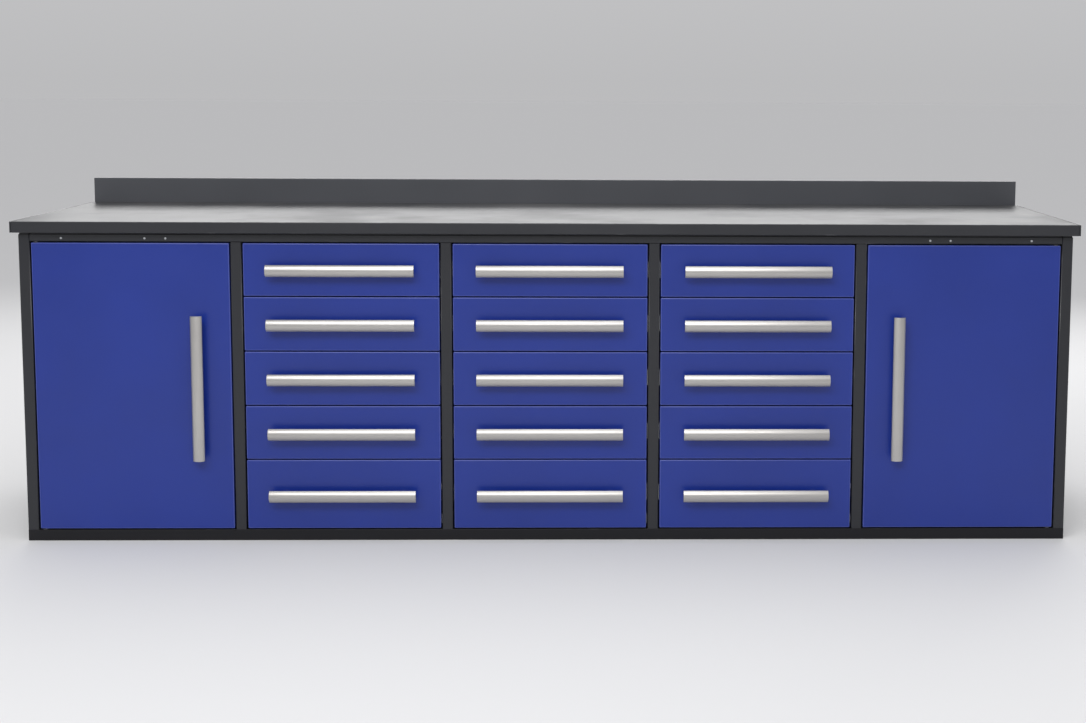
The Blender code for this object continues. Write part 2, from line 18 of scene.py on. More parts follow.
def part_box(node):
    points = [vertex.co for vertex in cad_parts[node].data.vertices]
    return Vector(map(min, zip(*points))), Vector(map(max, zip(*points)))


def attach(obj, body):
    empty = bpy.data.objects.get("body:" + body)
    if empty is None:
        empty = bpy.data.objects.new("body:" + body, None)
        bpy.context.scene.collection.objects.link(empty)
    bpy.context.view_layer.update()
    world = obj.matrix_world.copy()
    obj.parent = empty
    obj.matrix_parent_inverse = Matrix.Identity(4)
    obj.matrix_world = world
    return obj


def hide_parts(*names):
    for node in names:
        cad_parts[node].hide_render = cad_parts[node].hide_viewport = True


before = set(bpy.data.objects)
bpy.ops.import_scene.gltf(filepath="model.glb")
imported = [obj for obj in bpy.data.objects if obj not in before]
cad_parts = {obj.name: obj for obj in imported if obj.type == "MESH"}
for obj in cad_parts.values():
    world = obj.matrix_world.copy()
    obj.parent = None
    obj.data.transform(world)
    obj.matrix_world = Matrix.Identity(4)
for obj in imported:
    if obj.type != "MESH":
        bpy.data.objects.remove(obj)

LOG = logging.getLogger("workbench")
# On the blue paint the edges marked here also carry a painted highlight.
EDGE_MARK = "edge"              # face attribute: 1 on the rounded edges that wear first
GAP = 0.0003                    # the frame's clearance between two touching pieces
NOISE_SPAN = (0.3, 0.7)         # where most of a noise value lies

Colour = tuple[float, float, float]
Point = Sequence[float]
Input = Union[float, Point, bpy.types.NodeSocket]


class Slot(Enum):
    """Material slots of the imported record."""

    CHARCOAL = "charcoal_powder_coat"
    BLUE = "blue_powder_coat"
    ALUMINIUM = "brushed_aluminium"
    ZINC = "zinc_plate"
    BLACK = "black_plastic"


class Along(Enum):
    """Direction in which a bar was brushed."""

    X = 0
    Z = 2


class Side(Enum):
    """Which way a piece faces along the bench."""

    LEFT = -1
    RIGHT = 1


BAY_DOORS = {"left_door": Side.LEFT, "right_door": Side.RIGHT}
COLUMNS = ("left_drawer", "middle_drawer", "right_drawer")
BAYS = len(COLUMNS) + len(BAY_DOORS)
DRAWERS_PER_COLUMN = 5


# ---------------------------------------------------------------- places
@dataclass(frozen=True)
class Room:
    """The box that a node of the frame fills.

    Attributes:
        low: Its lowest corner.
        high: Its highest corner.
    """

    low: Vector
    high: Vector

    @classmethod
    def of(cls, node: str) -> "Room":
        """Read a node's box from the frame."""
        return cls(*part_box(node))

    @property
    def centre(self) -> Vector:
        """Middle of the box."""
        return (self.low + self.high) / 2

    @property
    def size(self) -> Vector:
        """Extent along each axis."""
        return self.high - self.low


# ---------------------------------------------------------------- shader nodes
class Graph:
    """Adds nodes and links to one node tree."""

    def __init__(self, tree: bpy.types.NodeTree) -> None:
        """Keep the tree that the nodes go in.

        Args:
            tree: A material's, world's or group's node tree.
        """
        self.tree = tree

    def node(self, kind: str, inputs: Optional[dict] = None, **settings: object) -> bpy.types.Node:
        """Add one node.

        Args:
            kind: The node's type name.
            inputs: Socket name or index to a value, or to the socket that feeds it.
            **settings: Properties of the node itself.

        Returns:
            The new node.
        """
        made = self.tree.nodes.new(kind)
        for key, value in settings.items():
            setattr(made, key, value)
        for key, value in (inputs or {}).items():
            if isinstance(value, bpy.types.NodeSocket):
                self.tree.links.new(value, made.inputs[key])
            else:
                made.inputs[key].default_value = value
        return made

    def math(self, operation: str, *values: Input) -> bpy.types.NodeSocket:
        """Add a Math node and return its result."""
        return self.node("ShaderNodeMath", dict(enumerate(values)), operation=operation).outputs[0]

    def noise(self, vector: Input, scale: Input, detail: float = 2.0) -> bpy.types.NodeSocket:
        """Add a Noise texture and return its value."""
        inputs = {"Vector": vector, "Scale": scale, "Detail": detail}
        return self.node("ShaderNodeTexNoise", inputs).outputs["Fac"]

    def remap(self, value: Input, source: tuple[Input, Input],
              target: tuple[float, float] = (0.0, 1.0)) -> bpy.types.NodeSocket:
        """Stretch a value from one range to another and return it, clamped.

        Args:
            value: Socket to read.
            source: The range it is read over, numbers or sockets.
            target: The range it is given.

        Returns:
            The stretched value.
        """
        inputs = {"Value": value, "From Min": source[0], "From Max": source[1],
                  "To Min": target[0], "To Max": target[1]}
        return self.node("ShaderNodeMapRange", inputs).outputs["Result"]

    def blend(self, factor: Input, first: Input, second: Input) -> bpy.types.NodeSocket:
        """Blend two colours by a factor and return the result."""
        inputs = {0: factor, 6: first, 7: second}
        return self.node("ShaderNodeMix", inputs, data_type="RGBA").outputs[2]

    def stretched(self, scale: Point) -> bpy.types.NodeSocket:
        """Object coordinates, stretched along each axis.

        Args:
            scale: How much along X, Y and Z.

        Returns:
            The stretched coordinates.
        """
        coordinates = self.node("ShaderNodeTexCoord").outputs["Object"]
        inputs = {"Vector": coordinates, "Scale": tuple(scale)}
        return self.node("ShaderNodeMapping", inputs).outputs["Vector"]


class Effect:
    """A shader node group that several finishes place with their own values."""

    def __init__(self, name: str, inputs: dict[str, float], outputs: Sequence[str],
                 fill: Callable[[Graph, dict], dict]) -> None:
        """Build the group once.

        Args:
            name: The group's name.
            inputs: Input names with their defaults.
            outputs: Output names.
            fill: Adds the group's nodes; gets the graph and the input sockets by name, and
                gives back the socket for each output.
        """
        self.tree = bpy.data.node_groups.new(name, "ShaderNodeTree")
        for label, default in inputs.items():
            socket = self.tree.interface.new_socket(
                name=label, in_out="INPUT", socket_type="NodeSocketFloat")
            socket.default_value = default
        for label in outputs:
            self.tree.interface.new_socket(
                name=label, in_out="OUTPUT", socket_type="NodeSocketFloat")
        graph = Graph(self.tree)
        entry = graph.node("NodeGroupInput")
        results = fill(graph, {label: entry.outputs[label] for label in inputs})
        graph.node("NodeGroupOutput", results)

    def place(self, graph: Graph, **values: Input) -> dict[str, bpy.types.NodeSocket]:
        """Put the group in a material.

        Args:
            graph: The material's graph.
            **values: Input values or sockets, named as the inputs are.

        Returns:
            The group's output sockets by name.
        """
        made = graph.node("ShaderNodeGroup", values, node_tree=self.tree)
        return {socket.name: socket for socket in made.outputs}


def fill_orange_peel(graph: Graph, given: dict) -> dict:
    """Nodes of the pebbled skin that baked powder paint has.

    Args:
        graph: The group's graph.
        given: Its input sockets.

    Returns:
        Height of the skin, and a slow mottle over the sheet.
    """
    times_finer, fine_height = 4.0, 0.25
    place = graph.stretched((1, 1, 1))
    pebbles = graph.noise(place, given["Pebbles"], detail=1.5)
    fine = graph.noise(place, graph.math("MULTIPLY", given["Pebbles"], times_finer), detail=1.0)
    height = graph.math("ADD", pebbles, graph.math("MULTIPLY", fine, fine_height))
    mottle = graph.noise(place, given["Mottle"], detail=3.0)
    return {"Height": height, "Mottle": mottle}


def fill_edge_wear_and_highlight(graph: Graph, given: dict) -> dict:
    """Nodes that break up the marked edges into thin rubbed places, which at a high amount join
    into a nearly unbroken pale line: a painted highlight on the blue paint.

    Args:
        graph: The group's graph.
        given: Its input sockets.

    Returns:
        A mask that is 1 where the edge is rubbed, and where the blue paint's painted highlight
        runs.
    """
    fade = 0.12
    marked = graph.node("ShaderNodeAttribute", attribute_name=EDGE_MARK).outputs["Fac"]
    patches = graph.noise(graph.stretched((1, 1, 1)), given["Patches"], detail=5.0)
    limit = graph.math("SUBTRACT", 1.0, given["Amount"])
    rubbed_and_highlit = graph.remap(patches, (limit, graph.math("ADD", limit, fade)))
    return {"Mask": graph.math("MULTIPLY", marked, rubbed_and_highlit)}


def fill_dust(graph: Graph, given: dict) -> dict:
    """Nodes that lay a thin uneven dust on what faces up.

    Args:
        graph: The group's graph.
        given: Its input sockets.

    Returns:
        A mask that is 1 where the dust is thickest.
    """
    near_level, cloudy, thin_to_thick = (0.6, 1.0), (0.35, 0.75), (0.3, 1.0)
    normal = graph.node("ShaderNodeNewGeometry").outputs["Normal"]
    upward = graph.node("ShaderNodeSeparateXYZ", {0: normal}).outputs["Z"]
    level = graph.remap(upward, near_level)
    drifts = graph.noise(graph.stretched((1, 1, 1)), scale=6.0, detail=6.0)
    cloud = graph.remap(drifts, cloudy, thin_to_thick)
    return {"Mask": graph.math("MULTIPLY", graph.math("MULTIPLY", level, cloud), given["Amount"])}


def fill_brushing(graph: Graph, given: dict) -> dict:
    """Nodes of the fine parallel lines that a belt leaves on metal.

    Args:
        graph: The group's graph.
        given: Its input sockets; each one is the fineness along one axis.

    Returns:
        Height of the lines, and broader streaks for the roughness and the colour.
    """
    axes = graph.node("ShaderNodeCombineXYZ", {
        "X": given["Across X"], "Y": given["Across Y"], "Z": given["Across Z"]})
    coordinates = graph.node("ShaderNodeTexCoord").outputs["Object"]
    place = graph.node("ShaderNodeVectorMath", {0: coordinates, 1: axes.outputs[0]},
                       operation="MULTIPLY").outputs[0]
    lines = graph.noise(place, scale=1.0, detail=3.0)
    streaks = graph.noise(place, scale=0.22, detail=2.0)
    return {"Height": lines, "Streaks": streaks}


def fill_handling(graph: Graph, given: dict) -> dict:
    """Nodes of the soft dull patches that hands and cloths leave.

    Args:
        graph: The group's graph.
        given: Its input sockets.

    Returns:
        A mask that is 1 in the middle of a patch.
    """
    flattened, patchy = (1, 1, 1.6), (0.48, 0.72)
    patches = graph.noise(graph.stretched(flattened), given["Patches"], detail=4.0)
    return {"Mask": graph.remap(patches, patchy)}


class Effects:
    """The node groups that the finishes share."""

    def __init__(self) -> None:
        """Build every group."""
        self.peel = Effect("orange_peel", {"Pebbles": 420.0, "Mottle": 5.0},
                           ("Height", "Mottle"), fill_orange_peel)
        self.wear_and_highlight = Effect("edge_wear_and_highlight", {"Amount": 0.4, "Patches": 18.0}, ("Mask",), fill_edge_wear_and_highlight)
        self.dust = Effect("settled_dust", {"Amount": 0.2}, ("Mask",), fill_dust)
        self.brushing = Effect(
            "brushing", {"Across X": 8.0, "Across Y": 900.0, "Across Z": 900.0},
            ("Height", "Streaks"), fill_brushing)
        self.handling = Effect("handling", {"Patches": 9.0}, ("Mask",), fill_handling)


EFFECTS = Effects()


# ---------------------------------------------------------------- finishes
def opaque(colour: Colour) -> tuple[float, float, float, float]:
    """A colour with full alpha."""
    return (*colour, 1.0)


def scaled(colour: Colour, factor: float) -> Colour:
    """A colour made lighter or darker."""
    return tuple(channel * factor for channel in colour)


@dataclass(frozen=True)
class Finish:
    """Base of every finish: a named material with one Principled shader.

    Attributes:
        name: The material's name.
        slot: The record's slot that it stands for.
        colour: Its main colour.
    """

    name: str
    slot: Slot
    colour: Colour

    def start(self) -> tuple[bpy.types.Material, Graph, bpy.types.Node]:
        """Make an empty material.

        Returns:
            The material, its graph and its Principled shader.
        """
        material = bpy.data.materials.new(self.name)
        material.use_nodes = True
        return material, Graph(material.node_tree), material.node_tree.nodes["Principled BSDF"]

    def feed(self, graph: Graph, shader: bpy.types.Node, colour: Input, roughness: Input,
             height: Input, strength: float, depth: float) -> None:
        """Link colour, roughness and relief into the shader.

        Args:
            graph: The material's graph.
            shader: Its Principled shader.
            colour: Socket of the colour.
            roughness: Socket of the roughness.
            height: Socket of the relief.
            strength: Share of the relief that shows.
            depth: How deep the relief is.
        """
        bump = graph.node("ShaderNodeBump", {
            "Height": height, "Strength": strength, "Distance": depth})
        sockets = {"Base Color": colour, "Roughness": roughness, "Normal": bump.outputs["Normal"]}
        for label, socket in sockets.items():
            graph.tree.links.new(socket, shader.inputs[label])


@dataclass(frozen=True)
class PowderCoat(Finish):
    """Baked powder paint with orange peel, paler edges (rubbed paint, and on the blue paint a
    painted highlight) and a little dust.

    Attributes:
        worn_and_highlight: Colour of the paint where an edge is rubbed thin; on the blue paint it
            is also the colour of a painted highlight along the rims.
        shades: Darkest and lightest shade in the mottle, as shares of the colour.
        roughness: Roughness of the clean skin.
        roughness_spread: How much smoother and duller the skin is in places.
        dust_roughness: How much duller dust makes it.
        dust_colour: Colour of the dust.
        peel_depth: How deep the pebbles are.
        peel_strength: Share of the pebbles' relief that shows.
        dust: Share of dust on what faces up.
        wear_and_highlight: Share of the marked edges that takes the paler edge colour: rubbed
            paint, and on the blue paint a painted highlight.
        specular: Strength of the paint's reflection.
        smears: How much duller the skin is where hands and cloths have been.
        patches: Smears to the metre, roughly.
    """

    worn_and_highlight: Colour
    shades: tuple[float, float] = (0.94, 1.05)
    roughness: float = 0.34
    roughness_spread: tuple[float, float] = (0.02, 0.03)
    dust_roughness: float = 0.25
    dust_colour: Colour = (0.42, 0.41, 0.39)
    peel_depth: float = 0.00012
    peel_strength: float = 0.35
    dust: float = 0.05
    wear_and_highlight: float = 0.40
    specular: float = 0.5
    smears: float = 0.05
    patches: float = 7.0

    def make(self) -> bpy.types.Material:
        """Build the material.

        Returns:
            The finished material.
        """
        material, graph, shader = self.start()
        peel = EFFECTS.peel.place(graph, Pebbles=420.0, Mottle=4.0)
        wear_and_highlight = EFFECTS.wear_and_highlight.place(graph, Amount=self.wear_and_highlight)
        dust = EFFECTS.dust.place(graph, Amount=self.dust)
        touched = EFFECTS.handling.place(graph, Patches=self.patches)
        darkest, lightest = (opaque(scaled(self.colour, shade)) for shade in self.shades)
        mottled = graph.blend(graph.remap(peel["Mottle"], NOISE_SPAN), darkest, lightest)
        # Paler edges: rubbed paint, and on the blue paint a painted highlight along the rims.
        rubbed_and_highlit = graph.blend(wear_and_highlight["Mask"], mottled, opaque(self.worn_and_highlight))
        dusty = graph.blend(dust["Mask"], rubbed_and_highlit, opaque(self.dust_colour))
        less, more = self.roughness_spread
        skin = graph.remap(peel["Mottle"], NOISE_SPAN,
                           (self.roughness - less, self.roughness + more))
        dulled = graph.math("ADD", skin, graph.math("MULTIPLY", touched["Mask"], self.smears))
        roughness = graph.math(
            "ADD", dulled, graph.math("MULTIPLY", dust["Mask"], self.dust_roughness))
        shader.inputs["Specular IOR Level"].default_value = self.specular
        self.feed(graph, shader, dusty, roughness, peel["Height"], self.peel_strength,
                  self.peel_depth)
        return material


@dataclass(frozen=True)
class BrushedMetal(Finish):
    """Bare or plated metal with fine lines from a belt or from rolling.

    Attributes:
        tarnish: Colour in the duller streaks.
        roughness: Roughness between the streaks.
        roughness_spread: How much smoother and duller the streaks are.
        along: Direction of the lines.
        fineness: Lines to the metre, roughly.
        slenderness: How many times longer than wide a line is.
        depth: How deep the lines are.
        strength: Share of the lines' relief that shows.
        tarnished: Share of the tarnish in the dullest streak.
        smears: How much duller the metal is where hands have been.
        burnish: How much brighter a rubbed edge is.
    """

    tarnish: Colour
    roughness: float
    roughness_spread: tuple[float, float] = (0.04, 0.06)
    along: Along = Along.X
    fineness: float = 5200.0
    slenderness: float = 90.0
    depth: float = 0.00003
    strength: float = 0.5
    tarnished: float = 0.5
    smears: float = 0.06
    burnish: float = 1.15

    def make(self) -> bpy.types.Material:
        """Build the material.

        Returns:
            The finished material.
        """
        material, graph, shader = self.start()
        across = {axis: self.fineness for axis in ("Across X", "Across Y", "Across Z")}
        across["Across " + self.along.name] = self.fineness / self.slenderness
        lines = EFFECTS.brushing.place(graph, **across)
        touched = EFFECTS.handling.place(graph, Patches=22.0)
        wear_and_highlight = EFFECTS.wear_and_highlight.place(graph, Amount=0.5, Patches=40.0)
        streaked = graph.blend(graph.remap(lines["Streaks"], NOISE_SPAN, (0.0, self.tarnished)),
                               opaque(self.colour), opaque(self.tarnish))
        bright = graph.blend(graph.math("MULTIPLY", wear_and_highlight["Mask"], 0.5), streaked,
                             opaque(scaled(self.colour, self.burnish)))
        less, more = self.roughness_spread
        grained = graph.remap(lines["Streaks"], NOISE_SPAN,
                              (self.roughness - less, self.roughness + more))
        roughness = graph.math("ADD", grained, graph.math("MULTIPLY", touched["Mask"], self.smears))
        shader.inputs["Metallic"].default_value = 1.0
        self.feed(graph, shader, bright, roughness, lines["Height"], self.strength, self.depth)
        return material


@dataclass(frozen=True)
class MouldedPlastic(Finish):
    """Black moulded plastic with a spark-eroded texture.

    Attributes:
        roughness: Roughness of the skin.
        roughness_spread: How much smoother and duller the skin is in places.
        dust_colour: Colour of the dust.
        scuff: How many times paler a scuffed edge is.
        grain_depth: How deep the texture is.
        grain_strength: Share of the texture's relief that shows.
    """

    roughness: float = 0.5
    roughness_spread: tuple[float, float] = (0.05, 0.08)
    dust_colour: Colour = (0.40, 0.39, 0.37)
    scuff: float = 3.0
    grain_depth: float = 0.00008
    grain_strength: float = 0.5

    def make(self) -> bpy.types.Material:
        """Build the material.

        Returns:
            The finished material.
        """
        material, graph, shader = self.start()
        peel = EFFECTS.peel.place(graph, Pebbles=1500.0, Mottle=30.0)
        wear_and_highlight = EFFECTS.wear_and_highlight.place(graph, Amount=0.45, Patches=60.0)
        dust = EFFECTS.dust.place(graph, Amount=0.15)
        scuffed = graph.blend(wear_and_highlight["Mask"], opaque(self.colour),
                              opaque(scaled(self.colour, self.scuff)))
        dusty = graph.blend(dust["Mask"], scuffed, opaque(self.dust_colour))
        less, more = self.roughness_spread
        roughness = graph.remap(peel["Mottle"], NOISE_SPAN,
                                (self.roughness - less, self.roughness + more))
        self.feed(graph, shader, dusty, roughness, peel["Height"], self.grain_strength,
                  self.grain_depth)
        return material


CHARCOAL = PowderCoat("charcoal_paint", Slot.CHARCOAL, (0.014, 0.015, 0.019), (0.050, 0.051, 0.056))
# A darker copy of the charcoal paint: painted shade for the low base, which sits in shadow near the
# floor.
SHADED_BASE_PAINT = PowderCoat("shaded_base_paint", Slot.CHARCOAL, (0.007, 0.007, 0.009), (0.034, 0.034, 0.038),
                        roughness=0.46, dust=0.03, specular=0.28)
WORKTOP_PAINT = PowderCoat("worktop_paint", Slot.CHARCOAL, (0.018, 0.019, 0.023),
                           (0.060, 0.061, 0.066), roughness=0.34, dust=0.10,
                           smears=0.18, patches=2.6)
SPLASH_PAINT = PowderCoat("backsplash_paint", Slot.CHARCOAL, (0.056, 0.059, 0.068),
                          (0.095, 0.097, 0.105), roughness=0.38)
# The pale edge colour over most of the marked edges paints a highlight line along the rims of the
# fronts and doors, partly standing for rubbed paint.
BLUE = PowderCoat("blue_paint", Slot.BLUE, (0.0070, 0.026, 0.230), (0.050, 0.072, 0.305),
                  roughness=0.33, wear_and_highlight=0.80)
BAR_ALUMINIUM = BrushedMetal("bar_aluminium", Slot.ALUMINIUM, (0.52, 0.505, 0.485),
                             (0.45, 0.435, 0.42), 0.38)
UPRIGHT_ALUMINIUM = BrushedMetal("upright_bar_aluminium", Slot.ALUMINIUM, (0.55, 0.535, 0.515),
                                 (0.47, 0.455, 0.44), 0.38, along=Along.Z)
# Zinc-plated pins given a near-black colour: painted shade, so they stay dark in the shadowed door
# gaps.
SHADED_PIN_STEEL = BrushedMetal("shaded_pin_steel", Slot.ZINC, (0.10, 0.10, 0.11),
                         (0.06, 0.06, 0.07), 0.42, along=Along.Z)
ZINC = BrushedMetal("zinc_plated_steel", Slot.ZINC, (0.58, 0.60, 0.62), (0.44, 0.45, 0.46), 0.30,
                    fineness=1400.0, depth=0.00002)
BLACK = MouldedPlastic("black_moulding", Slot.BLACK, (0.018, 0.018, 0.019))


class PaintShop:
    """Makes each finish once and hands its material out."""

    def __init__(self) -> None:
        """Start with no material made."""
        self.made: dict[str, bpy.types.Material] = {}

    def material(self, finish: Finish) -> bpy.types.Material:
        """Hand out the material of a finish, made at its first use.

        Args:
            finish: The finish.

        Returns:
            Its material.
        """
        if finish.name not in self.made:
            self.made[finish.name] = finish.make()
        return self.made[finish.name]


SHOP = PaintShop()


# ---------------------------------------------------------------- shaping
class Stock:
    """Metal being shaped: a bmesh with the operations of a sheet-metal shop."""

    def __init__(self) -> None:
        """Start with nothing."""
        self.shape = bmesh.new()
        self.edge = self.shape.faces.layers.float.new(EDGE_MARK)

    def round_edges(self, edges: Iterable[bmesh.types.BMEdge], radius: float,
                    segments: int = 3) -> None:
        """Round some edges, and mark and smooth the faces that come of it.

        Args:
            edges: The edges to round.
            radius: How far the rounding reaches.
            segments: Faces across the rounding.
        """
        made = bmesh.ops.bevel(
            self.shape, geom=list(edges), offset=radius, offset_type="OFFSET", segments=segments,
            profile=0.5, affect="EDGES", material=-1, clamp_overlap=True)
        for face in made["faces"]:
            face.smooth = True
            face[self.edge] = 1.0

    def everything(self) -> list:
        """All corners, edges and faces."""
        return [*self.shape.verts, *self.shape.edges, *self.shape.faces]

    def cut(self, point: Point, normal: Point) -> None:
        """Score the faces all along a plane through a point, without parting them."""
        bmesh.ops.bisect_plane(self.shape, geom=self.everything(), plane_co=point, plane_no=normal)

    def step_back(self, front: float, height: float, depth: float, lip: float = 0.0005) -> None:
        """Set the front face back above a height, for a shadow line.

        Args:
            front: Y of the front face.
            height: Where the step is.
            depth: How far the face goes back.
            lip: Height of the sloping ledge.
        """
        self.cut((0, 0, height), (0, 0, 1))
        self.cut((0, 0, height + lip), (0, 0, 1))
        near = [vert for vert in self.shape.verts
                if vert.co.z > height + lip / 2 and vert.co.y < front + depth]
        bmesh.ops.translate(self.shape, vec=(0, depth, 0), verts=near)

    def sharp_edges(self, angle: float = 50.0) -> list[bmesh.types.BMEdge]:
        """Find the edges where two faces meet at a clear angle.

        Args:
            angle: The least angle, in degrees.

        Returns:
            The edges.
        """
        self.shape.normal_update()
        return [edge for edge in self.shape.edges
                if len(edge.link_faces) == 2 and edge.calc_face_angle(0) > radians(angle)]

    def join(self, other: "Stock") -> "Stock":
        """Take in another shape.

        Args:
            other: The other shape, which is used up.

        Returns:
            This shape.
        """
        carrier = bpy.data.meshes.new("carrier")
        other.shape.to_mesh(carrier)
        other.shape.free()
        self.shape.from_mesh(carrier)
        bpy.data.meshes.remove(carrier)
        return self

    def move(self, offset: Point) -> "Stock":
        """Shift everything."""
        bmesh.ops.translate(self.shape, vec=Vector(offset), verts=self.shape.verts)
        return self

    def turn(self, angle: float, axis: str, centre: Point = (0, 0, 0)) -> "Stock":
        """Turn everything about an axis.

        Args:
            angle: How far, in degrees.
            axis: X, Y or Z.
            centre: A point on the axis.

        Returns:
            This shape.
        """
        bmesh.ops.rotate(self.shape, verts=self.shape.verts, cent=Vector(centre),
                         matrix=Matrix.Rotation(radians(angle), 3, axis))
        return self

    def recess(self, normal: Point, border: float, depth: float, lip: float = 0.0008) -> None:
        """Sink the middle of the largest face that looks one way.

        Args:
            normal: The way the face looks.
            border: Width that is left at full height.
            depth: How far the middle goes in.
            lip: Width of the sloping wall.
        """
        self.shape.normal_update()
        facing = [f for f in self.shape.faces if f.normal.dot(Vector(normal)) > 0.99]
        largest = max(facing, key=lambda f: f.calc_area())
        bmesh.ops.inset_region(self.shape, faces=[largest], thickness=border, depth=0.0,
                               use_even_offset=True)
        bmesh.ops.inset_region(self.shape, faces=[largest], thickness=lip, depth=-depth,
                               use_even_offset=True)

    def mesh(self, name: str) -> bpy.types.Mesh:
        """Write the shape to a mesh and let the bmesh go.

        Args:
            name: The mesh's name.

        Returns:
            The mesh.
        """
        made = bpy.data.meshes.new(name)
        self.shape.to_mesh(made)
        self.shape.free()
        return made


def block(low: Point, high: Point, radius: float = 0.0, segments: int = 3) -> Stock:
    """A solid block or closed casing with all its edges rounded.

    Args:
        low: Lowest corner.
        high: Highest corner.
        radius: Rounding of the edges, or 0 to leave them.
        segments: Faces across the rounding.

    Returns:
        The shape.
    """
    made = Stock()
    low, high = Vector(low), Vector(high)
    bmesh.ops.create_cube(made.shape, size=1.0)
    bmesh.ops.scale(made.shape, vec=high - low, verts=made.shape.verts)
    bmesh.ops.translate(made.shape, vec=(low + high) / 2, verts=made.shape.verts)
    if radius > 0:
        made.round_edges(made.shape.edges[:], radius, segments)
    return made


def fold(line: Sequence[Point], run: Point, sheet: float, bend: float, segments: int = 3) -> Stock:
    """A bent sheet: a fold line swept along run, with its wall on the line's left.

    Args:
        line: The fold line's corners.
        run: How far, and which way, it is swept.
        sheet: Thickness.
        bend: Inner radius of each bend.
        segments: Faces across a bend.

    Returns:
        The shape.
    """
    made = Stock()
    shape = made.shape
    corners = [shape.verts.new(point) for point in line]
    edges = [shape.edges.new(pair) for pair in zip(corners, corners[1:])]
    swept = bmesh.ops.extrude_edge_only(shape, edges=edges)["geom"]
    bmesh.ops.translate(shape, vec=Vector(run),
                        verts=[v for v in swept if isinstance(v, bmesh.types.BMVert)])
    leftwards = Vector(run).cross(Vector(line[1]) - Vector(line[0]))
    shape.normal_update()
    if corners[0].link_faces[0].normal.dot(leftwards) > 0:
        bmesh.ops.reverse_faces(shape, faces=shape.faces[:])
    bends = [edge for edge in shape.edges if len(edge.link_faces) == 2]
    made.round_edges(bends, bend, segments)
    shape.normal_update()
    bmesh.ops.solidify(shape, geom=shape.faces[:], thickness=sheet)
    return made


def open_tray(low: Point, high: Point, sheet: float, bend: float, hem: float,
              open_up: bool = True) -> Stock:
    """A folded tray without a lid, its rim turned inwards.

    Args:
        low: Lowest corner.
        high: Highest corner.
        sheet: Thickness, laid inside the corners.
        bend: Radius of the folds.
        hem: Width of the turned rim.
        open_up: Whether the open side is the top or the bottom.

    Returns:
        The shape.
    """
    made = block(low, high)
    shape = made.shape
    shape.normal_update()
    way = 1 if open_up else -1
    lid = [face for face in shape.faces if face.normal.z * way > 0.5]
    bmesh.ops.delete(shape, geom=lid, context="FACES_ONLY")
    made.round_edges([edge for edge in shape.edges if len(edge.link_faces) == 2], bend)
    rim = [edge for edge in shape.edges if len(edge.link_faces) == 1]
    turned = bmesh.ops.extrude_edge_only(shape, edges=rim)["geom"]
    inner = [item for item in turned if isinstance(item, bmesh.types.BMVert)]
    size = Vector(high) - Vector(low)
    middle = (Vector(high) + Vector(low)) / 2
    shrink = Vector(((size.x - 2 * hem) / size.x, (size.y - 2 * hem) / size.y, 1))
    bmesh.ops.scale(shape, vec=shrink, verts=inner, space=Matrix.Translation(-middle))
    shape.normal_update()
    bmesh.ops.solidify(shape, geom=shape.faces[:], thickness=sheet)
    return made


def rod(centre: Point, radius: float, length: float, axis: str = "Z", sides: int = 24,
        chamfer: float = 0.0) -> Stock:
    """A round bar about a centre, its side smooth and its rims broken.

    Args:
        centre: Middle of the bar.
        radius: Its radius.
        length: Its length.
        axis: X, Y or Z.
        sides: Faces round it.
        chamfer: Rounding of the rims.

    Returns:
        The shape.
    """
    made = Stock()
    shape = made.shape
    bmesh.ops.create_cone(shape, cap_ends=True, segments=sides, radius1=radius, radius2=radius,
                          depth=length)
    for face in shape.faces:
        face.smooth = len(face.verts) == 4
    rims = [edge for edge in shape.edges
            if any(len(face.verts) > 4 for face in edge.link_faces)]
    if chamfer > 0:
        made.round_edges(rims, chamfer, 2)
    if axis != "Z":
        made.turn(90, "Y" if axis == "X" else "X")
    return made.move(centre)


def turned(profile: Sequence[tuple[float, float]], centre: Point, sides: int = 32) -> Stock:
    """A piece turned about an upright axis.

    Args:
        profile: Radius and height of each point, from the bottom up, both ends on the axis.
        centre: Where the axis and the zero height are.
        sides: Faces round it.

    Returns:
        The shape.
    """
    made = Stock()
    shape = made.shape
    points = [shape.verts.new((radius, 0, height)) for radius, height in profile]
    edges = [shape.edges.new(pair) for pair in zip(points, points[1:])]
    bmesh.ops.spin(shape, geom=points + edges, cent=(0, 0, 0), axis=(0, 0, 1), dvec=(0, 0, 0),
                   angle=2 * pi, steps=sides, use_merge=True, use_duplicate=False)
    bmesh.ops.remove_doubles(shape, verts=shape.verts, dist=0.000001)
    bmesh.ops.recalc_face_normals(shape, faces=shape.faces)
    for face in shape.faces:
        face.smooth = True
    return made.move(centre)


def screw_head(centre: Point, radius: float, height: float, way: int) -> Stock:
    """A pan head with a twelve-sided socket, looking along Y.

    Args:
        centre: Middle of its seat.
        radius: Radius of the head.
        height: How far it stands off its seat.
        way: 1 to look along +Y, -1 to look along -Y.

    Returns:
        The shape.
    """
    dome, rim, wall, socket = 0.45, 0.32, 0.02, 0.5
    made = rod((0, 0, height / 2), radius, height, sides=12)
    shape = made.shape
    shape.normal_update()
    top = next(face for face in shape.faces if face.normal.z > 0.9)
    made.round_edges(list(top.edges), height * dome, 2)
    shape.normal_update()
    top = max((face for face in shape.faces if face.normal.z > 0.99), key=lambda f: f.calc_area())
    bmesh.ops.inset_region(shape, faces=[top], thickness=radius * rim, depth=0.0)
    bmesh.ops.inset_region(shape, faces=[top], thickness=radius * wall, depth=-height * socket)
    return made.turn(-90 * way, "X").move(centre)


